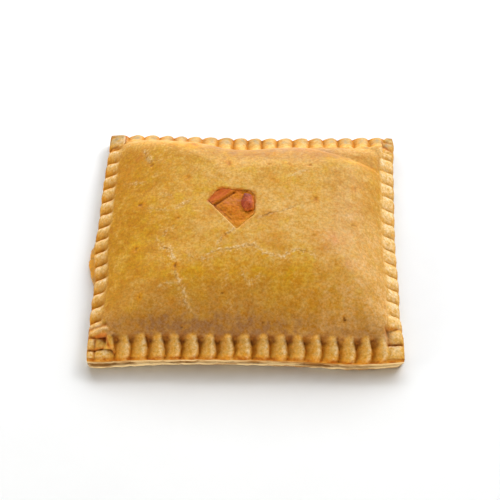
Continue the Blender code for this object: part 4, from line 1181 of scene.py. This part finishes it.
# Grows the vent's walls, the cavity's ceiling and wall, and the cut edge down to the seam.
def growCrust(bm, level, share, turn):
    loose = [edge for edge in bm.edges if edge.is_boundary]
    centre = Vector((*ventCentre, 0))
    edges = [e for e in loose if (e.verts[0].co - centre).length < crust["ventRange"]]
    outer = [e for e in loose if (e.verts[0].co - centre).length >= crust["ventRange"]]
    for vert in {v for e in edges for v in e.verts}:
        vert[turn] = math.atan2(vert.co.y - ventCentre[1], vert.co.x - ventCentre[0])
    for lower in crust["ventShares"]:
        verts, edges = nextRing(bm, edges)
        for vert in verts:
            vert[level], vert[share] = crust["levels"]["vent"], lower
    rings = [(crust["cavityInsets"][-1], blend) for blend in reversed(crust["cavityBlends"])]
    rings += [(inset, 0.0) for inset in reversed(crust["cavityInsets"])]
    for inset, blend in rings + [(dough["cavity"][0], 0.0)]:
        verts, edges = nextRing(bm, edges)
        p, q = cavityRing(np.array([vert[turn] for vert in verts]), inset, blend)
        for index, vert in enumerate(verts):
            vert.co.x, vert.co.y = p[index], q[index]
            vert[level] = crust["levels"]["ceiling" if inset > dough["cavity"][0] else "floor"]
    for lower in crust["wallShares"]:
        verts, outer = nextRing(bm, outer)
        for vert in verts:
            vert[level], vert[share] = crust["levels"]["wall"], lower
    bmesh.ops.triangle_fill(bm, edges=outer + edges, use_beauty=True, use_dissolve=False, normal=(0, 0, 1))


def buildCrust():
    bm = bmesh.new()
    level = bm.verts.layers.int.new("level")
    share = bm.verts.layers.float.new("share")
    turn = bm.verts.layers.float.new("turn")
    layOutCrust(bm, level)
    cutVent(bm)
    growCrust(bm, level, share, turn)
    levels = np.array([vert[level] for vert in bm.verts])
    shares = np.array([vert[share] for vert in bm.verts])
    keys = ("top", "wall", "vent", "ceiling")
    onTop, onWall, inVent, onCeiling = [levels == crust["levels"][key] for key in keys]
    # Every vert's place in the flat dough, then its place in space.
    p, q = np.array([vert.co[:2] for vert in bm.verts]).T
    relief, masks = crustRelief(p, q)
    tones = crustTones(p, q)
    nearest = fromNearest(p, q)
    cushioned, height, _ = cornerCushions(p, q)
    cushioned = cushioned * smoothStep(0.0, 1.0, nearest)
    top = topHeight(p, q) * (1 - cushioned) + height * cushioned + relief
    top = top - 0.12 * (1 - smoothStep(0.0, 0.5, nearest))
    floor = dough["baseThick"] + dough["gap"]
    seam = floor - crust["seamClose"] + edgeLift(p, q)
    ceiling = ceilingHeight(p, q)
    z = np.select(
        [onTop, onWall, inVent, onCeiling],
        [top, seam + (top - seam) * shares, top + (ceiling - top) * shares, ceiling],
        floor + 0.0 * p,
    )
    # The cut edge stands in and out in uneven layers.
    outward = crustWaver("edge", p + 7 * q, shares * 9.0 + 0.02 * q) - 0.22 * (1 - shares) ** 2
    outward = np.where(onWall, outward, 0.0)
    p = p + outward * np.sign(p) * (halfWidth - abs(p) < 0.02)
    q = q + outward * np.sign(q) * (halfDepth - abs(q) < 0.02)
    placeVerts(bm, *planPoint(p, q), z)
    values = {key: np.where(onTop, found, 0.0) for key, found in {**masks, **tones}.items()}
    underneath = np.where(levels >= crust["levels"]["ceiling"], 1.0, 0.0)
    values["cut"] = np.where(onWall, smoothStep(1.0, 0.75, shares), underneath)
    values["ventStain"] = np.where(inVent, 0.9, values["ventStain"])
    print("crust mesh has", len(bm.verts), "verts")
    finishPiece(bm, crust["name"], crustMaterial(), "top_sheet", values)


base = {
    "name": "base",
    "turns": 960,
    "squareness": 60.0,
    "foot": (4.0, 0.3),  # how far in its corners are, and how much farther the middles of its sides
    # How far it stands out along the front: everywhere, and at some places with their spread.
    "standOut": (0.35, (-62.0, 20.0, 0.75), (38.0, 22.0, 0.25), (64.0, 5.0, -0.5)),
    "standFade": (7.0, 1.0),
    # Rings of its edge: inset, height.
    "rings": (
        (2.2, 0.1), (0.8, 0.18), (0.25, 0.28), (0.0, 0.45), (-0.08, 0.75),
        (-0.02, 1.1), (0.08, 1.38), (0.4, 1.62), (7.0, 1.6),
    ),
    "cutRings": (3, 8),
    "standRings": (2, 8),
    "peekRing": 4,
    "ripple": (3, 0.12),  # its ring and height
    "mottle": {
        "Lighter": (0.66, 0.45, 0.19), "Deeper": (0.52, 0.30, 0.09), "Patch Scale": 70.0,
        "Grain Scale": 800.0, "Grain": 0.12,
    },
    # The flap that peeks out at the left: its orange colour, made lighter as painted light where it sits in
    # shade.
    "stains": (("toastAndPaintedLight", (0.84, 0.37, 0.008), 500.0, 0.3),),
    "layers": {"Pale": (0.72, 0.58, 0.36), "Dark": (0.30, 0.15, 0.04), "Layers": 1000.0},
    "rough": 0.7,
    "crumb": {"Scale": 900.0, "Pores": 0.3},
    "bump": (0.5, 0.00012),
    "layerRise": 2.5,
}


def baseMaterial():
    material, tree, shader, place = newMaterial("pale dough")
    under = useGroup(tree, "mottle", {"Vector": place, **base["mottle"]})["Color"]
    layers = useGroup(tree, "layer", {"Vector": place, **base["layers"]})
    cut = attribute(tree, "cut")
    color = stained(tree, place, mixColor(tree, cut, under, layers["Color"]), base["stains"])
    fillShader(tree, shader, place, base, color, base["rough"], times(tree, layers["Height"], cut))
    return material


def amongRings(levels, name):
    first, last = base[name]
    return (levels >= first) & (levels <= last)


def buildBase():
    bm, levels, angles = ringMesh(base["turns"], len(base["rings"]))
    c, s = np.cos(angles), np.sin(angles)
    reach = 1 / np.maximum(abs(c), abs(s))
    inset = base["foot"][0] + base["foot"][1] * (1 - (np.minimum(abs(c), abs(s)) * reach) ** 2)
    footP, footQ = (halfWidth - inset) * reach * c, (halfDepth - inset) * reach * s
    insets, heights = np.array([(0.0, 0.0), *base["rings"]])[levels].T
    p, q = squarePoint(angles, insets, base["squareness"])
    cut = amongRings(levels, "cutRings")
    wavy = 0.18 * uneven(p + 5 * q, heights * 4.0, 3.4, 21.0)
    wavy = wavy + 0.1 * uneven(p - 4 * q, heights * 2.0, 1.2, 22.0)
    flatP, flatQ = squarePoint(angles, insets - np.where(cut, wavy, 0.0), base["squareness"])
    everywhere, *places = base["standOut"]
    stand = everywhere + sum(far * bump(p, place, spread) for place, spread, far in places)
    stand = stand * smoothStep(*base["standFade"], fromEdges(p, q)["front"])
    x, y = planPoint(flatP, flatQ - stand * amongRings(levels, "standRings"), dough["peek"][2])
    ring, height = base["ripple"]
    ripple = np.where(levels == ring, height, 0.0) * (1 + uneven(p, q, 4.0, 23.0))
    onFoot = levels == 0
    x = np.where(onFoot, footP + dough["shift"][0], x)
    y = np.where(onFoot, footQ + dough["shift"][1], y)
    placeVerts(bm, x, y, np.where(onFoot, 0.0, heights + edgeLift(p, q) + ripple))
    # The peeking flap's orange colour, lightened as painted light.
    peeks = bump(q, *dough["peek"][:2]) * (p < 0) * (levels >= base["peekRing"])
    values = {"cut": cut * 1.0, "toastAndPaintedLight": 0.95 * peeks}
    finishPiece(bm, base["name"], baseMaterial(), "bottom_sheet", values)


filling = {
    "name": "filling",
    "turns": 240,
    "gap": 0.36,
    "ventGap": 0.05,
    "rings": 36,
    "blends": (0.3, 0.6, 0.85, 1.0),
    "mottle": {
        "Lighter": (0.53, 0.145, 0.004), "Deeper": (0.56, 0.188, 0.005), "Patch Scale": 420.0,
        "Grain Scale": 1500.0, "Grain": 0.18,
    },
    "stains": (
        ("ochre", (0.56, 0.188, 0.005), 900.0, 0.4),
        ("red", (0.50, 0.10, 0.012), 700.0, 0.4),
        ("purple", (0.55, 0.19, 0.08), 800.0, 0.6),
        # Painted shade in the filling's crease, beside the crust's lip and under the vent's back edge.
        ("fillingShade", (0.16, 0.035, 0.006), 900.0, 0.25),
        ("edge", (0.60, 0.27, 0.02), 900.0, 0.5),
    ),
    "rough": 0.6,
    "shine": 0.08,
    "crumb": {"Scale": 1000.0, "Pores": 0.5},
    "bump": (0.5, 0.00015),
    # The points of the crease between the raised band behind and the rest, and of the line that
    # the crust's lip leaves along the front left.
    "crease": ((-13.2, 6.2), (-9.5, 9.2), (-5.6, 12.6)),
    "lipLine": ((-13.6, 6.4), (-12.0, 4.8), (-6.8, -0.8)),
    "depth": 0.55,  # below the crust's top
    # How much deeper it lies at its tip towards the front corner, in the raised band behind the
    # crease, in the crease and along the crust's lip.
    "deeper": {"tip": -0.2, "band": -0.25, "crease": 0.4, "lip": 0.2},
    "tip": (3.5, -5.0),
    "band": ((0.0, 1.2), (3.6, 2.2)),
    "creaseWidth": 0.6,
    "lipWidth": 0.5,
    "rim": (0.3, 0.7, -1.6, -0.2),  # its depth at the vent's edge, its share and where it fades in
    "uneven": ((0.14, 2.2, 31.0), (0.07, 0.9, 32.0)),
    # Darker spots: place, how much narrower across the depth, spread and strength.
    "spots": ((-7.0, 8.2, 1.4, 2.4, 1.0), (-3.2, 8.6, 1.0, 1.6, 0.6)),
}


# How deep the filling lies under the crust's top, and the masks of its stains and its painted shade.
def fillingRelief(p, q):
    away = fromLine(p, q, filling["crease"])[0]
    line = fromLine(p, q, filling["lipLine"])[0]
    out = fromVent(p, q)
    (firstP, firstQ), (lastP, lastQ) = filling["crease"][0], filling["crease"][-1]
    wayP, wayQ = lastP - firstP, lastQ - firstQ
    behind = ((q - firstQ) * wayP - (p - firstP) * wayQ) / math.hypot(wayP, wayQ)
    rise, fall = filling["band"]
    forms = {
        "tip": smoothStep(*filling["tip"], q),
        "band": smoothStep(*rise, behind) * smoothStep(*fall, behind),
        "crease": bump(away, 0.0, filling["creaseWidth"]),
        "lip": bump(line, 0.0, filling["lipWidth"]),
    }
    depth = filling["depth"]
    for key, deeper in filling["deeper"].items():
        depth = depth + deeper * forms[key]
    rimDepth, rimShare, *rimFade = filling["rim"]
    rimmed = rimShare * smoothStep(*rimFade, out) * (1 - rimShare * forms["crease"])
    depth = depth + (rimDepth - depth) * rimmed + waver(p, q, filling["uneven"])
    spots = 0.0 * p
    for placeP, placeQ, narrow, spread, strength in filling["spots"]:
        spots = spots + strength * bump(np.hypot(p - placeP, (q - placeQ) * narrow), 0.0, spread)
    # Painted shade in the crease, beside the crust's lip and under the vent's back edge.
    shade = 0.45 * forms["crease"] + 0.5 * bump(line, 0.0, 0.45)
    shade = shade + 0.45 * bump(line, 1.7, 0.4) * (0.6 + 0.5 * uneven(p, q, 1.5, 54.0))
    shade = shade + 0.3 * smoothStep(-0.6, 0.0, out) * smoothStep(0.0, 4.0, q)
    fringe = smoothStep(-0.9, -0.2, out + 0.5 * uneven(p, q, 1.4, 55.0)) * smoothStep(4.0, 0.0, q)
    made = {
        "red": 0.85 * smoothStep(0.6, 1.9, behind) + 0.3 * bump(behind, 0.5, 0.8),
        "ochre": 0.8 * bump(behind, 1.1, 0.6) + 0.5 * forms["tip"],
        "purple": 0.8 * spots * (0.6 + 0.5 * uneven(p, q, 1.4, 33.0)),
        "fillingShade": np.clip(shade, 0, 1),
        "edge": 0.75 * fringe,
    }
    return depth, made


def buildFilling():
    body = [(dough["cavity"][0], 0.0)] + [(inset, 0.0) for inset in crust["cavityInsets"]]
    body += [(crust["cavityInsets"][-1], blend) for blend in filling["blends"]]
    bm, levels, angles = ringMesh(filling["turns"], len(body) - 1 + filling["rings"])
    p, q = 0.0 * angles, 0.0 * angles
    for number, (inset, blend) in enumerate(body):
        ringP, ringQ = cavityRing(angles, inset, blend, filling["gap"])
        p, q = np.where(levels == number, ringP, p), np.where(levels == number, ringQ, q)
    z = ceilingHeight(p, q) - filling["gap"]
    z = np.where(levels == 0, dough["baseThick"] + dough["gap"], z)
    inVent = levels >= len(body)
    share = np.where(inVent, (filling["rings"] - (levels - len(body))) / filling["rings"], 0.0)
    reach = (ventReach(angles) - filling["ventGap"]) * share
    p = np.where(inVent, ventCentre[0] + reach * np.cos(angles), p)
    q = np.where(inVent, ventCentre[1] + reach * np.sin(angles), q)
    depth, masks = fillingRelief(p, q)
    z = np.where(inVent, topHeight(p, q) - depth, z)
    placeVerts(bm, *planPoint(p, q), z)
    values = {key: np.where(inVent, found, 0.0) for key, found in masks.items()}
    material = plainMaterial("orange filling", filling)
    finishPiece(bm, filling["name"], material, "filling", values)


chunk = {
    "name": "browned_chunk",
    "place": (0.3, 7.6),
    "size": (5.2, 9.2, 3.6),
    "lean": math.radians(8),
    "stand": 1.3,
    "fineness": 6,
    "lumps": ((0.06, 1.4, 0.9, 0.5), (0.05, -0.6, 1.8, -0.7), (0.04, 0.3, 2.6, 1.1)),
    "grains": ((0.05, 7.0), (0.03, 15.0)),
    "rest": 0.8,
    "mottle": {
        "Lighter": (0.50, 0.098, 0.026), "Deeper": (0.34, 0.052, 0.018), "Patch Scale": 480.0,
        "Grain Scale": 1700.0, "Grain": 0.2,
    },
    "stains": (("purple", (0.23, 0.05, 0.03), 700.0, 0.5), ("orange", (0.56, 0.15, 0.012), 700.0, 0.5)),
    "rough": 0.52,
    "shine": 0.14,
    "crumb": {"Scale": 1200.0, "Pores": 0.6},
    "bump": (0.8, 0.0002),
}


def buildChunk():
    bm = bmesh.new()
    bmesh.ops.create_icosphere(bm, subdivisions=chunk["fineness"], radius=0.5)
    for vert in bm.verts:
        lump = 1.0
        for height, *turns in chunk["lumps"]:
            lump += height * math.sin(2 * math.pi * vert.co.dot(Vector(turns)))
        for height, fine in chunk["grains"]:
            lump += height * noise.noise(vert.co * fine)
        vert.co = vert.co * lump
    bmesh.ops.scale(bm, vec=chunk["size"], verts=bm.verts[:])
    bmesh.ops.rotate(bm, matrix=Matrix.Rotation(chunk["lean"], 3, "Z"), verts=bm.verts[:])
    across, deep, high = np.array([vert.co[:] for vert in bm.verts]).T
    middle = topHeight(*[np.array([c]) for c in chunk["place"]])[0] + chunk["stand"] - chunk["size"][2] / 2
    p, q = chunk["place"][0] + across, chunk["place"][1] + deep
    z = np.maximum(middle + high, topHeight(p, q) - chunk["rest"])
    placeVerts(bm, *planPoint(p, q), z)
    values = {
        "purple": 0.8 * smoothStep(0.5, 3.5, deep - 0.6 * across),
        "orange": 0.8 * smoothStep(1.0, 2.4, across) + 0.6 * smoothStep(-2.5, -4.5, deep),
    }
    material = plainMaterial("browned chunk", chunk)
    finishPiece(bm, chunk["name"], material, "filling_chunk", values)


floorMade = {
    "half": 1.6,
    "cells": 8,
    "drop": 0.00001,
    "mottle": {
        "Lighter": (0.93, 0.94, 0.95), "Deeper": (0.92, 0.93, 0.94), "Patch Scale": 6.0,
        "Grain Scale": 60.0, "Grain": 0.004,
    },
    "stains": (),
    "rough": 0.6,
    "shine": 0.2,
}


def buildFloor():
    bm = bmesh.new()
    cells = floorMade["cells"]
    bmesh.ops.create_grid(bm, x_segments=cells, y_segments=cells, size=floorMade["half"])
    bmesh.ops.translate(bm, vec=(0, 0, -floorMade["drop"]), verts=bm.verts[:])
    floor = newObject("floor", newMesh(bm, "floor", plainMaterial("pale floor", floorMade)))


# Soft boxes, each by its direction round from the back, its height in degrees, its width and
# height in metres, its power and its colour.
lights = {
    "ambient": 0.0,
    "away": 2.0,
    "boxes": {
        "back": (0.0, 28.0, 2.4, 0.7, 57.0, (0.93, 0.96, 1.0)),
        "back right low": (45.0, 28.0, 0.7, 0.7, 17.0, (1.0, 1.0, 1.0)),
        "back right": (45.0, 40.0, 1.2, 1.2, 14.4, (1.0, 1.0, 1.0)),
        "left": (-90.0, 20.0, 1.4, 0.7, 18.0, (1.0, 0.95, 0.88)),
        "front": (180.0, 6.0, 2.4, 0.36, 44.0, (1.0, 0.86, 0.61)),
    },
}


def addLight(name, made):
    turn, height, wide, tall, power, color = made
    turn, height = math.radians(turn), math.radians(height)
    way = Vector((math.sin(turn) * math.cos(height), math.cos(turn) * math.cos(height), math.sin(height)))
    data = bpy.data.lights.new(name, "AREA")
    data.shape, data.size, data.size_y, data.energy, data.color = "RECTANGLE", wide, tall, power, color
    lamp = newObject(name, data)
    lamp.location = way * lights["away"]
    lamp.rotation_euler = (-way).to_track_quat("-Z", "Y").to_euler()


def lightScene():
    world = bpy.data.worlds.new("studio")
    world.use_nodes = True
    world.node_tree.nodes["Background"].inputs["Color"].default_value = (1, 1, 1, 1)
    world.node_tree.nodes["Background"].inputs["Strength"].default_value = lights["ambient"]
    bpy.context.scene.world = world
    bpy.context.scene.view_settings.view_transform = "Standard"
    for name, made in lights["boxes"].items():
        addLight(name, made)


camera = {
    "place": (0.00629, -0.33074, 0.4717),
    "turn": (math.radians(35), 0.0, math.radians(0.72)),
    "lens": 99.1,
    "sensor": 36.0,
}


def addCamera():
    data = bpy.data.cameras.new("camera")
    data.lens, data.sensor_width = camera["lens"], camera["sensor"]
    made = newObject("camera", data)
    made.location = camera["place"]
    made.rotation_euler = camera["turn"]
    bpy.context.scene.camera = made


buildCrust()
buildBase()
buildFilling()
buildChunk()
buildFloor()
lightScene()
addCamera()
print("light and camera are set")
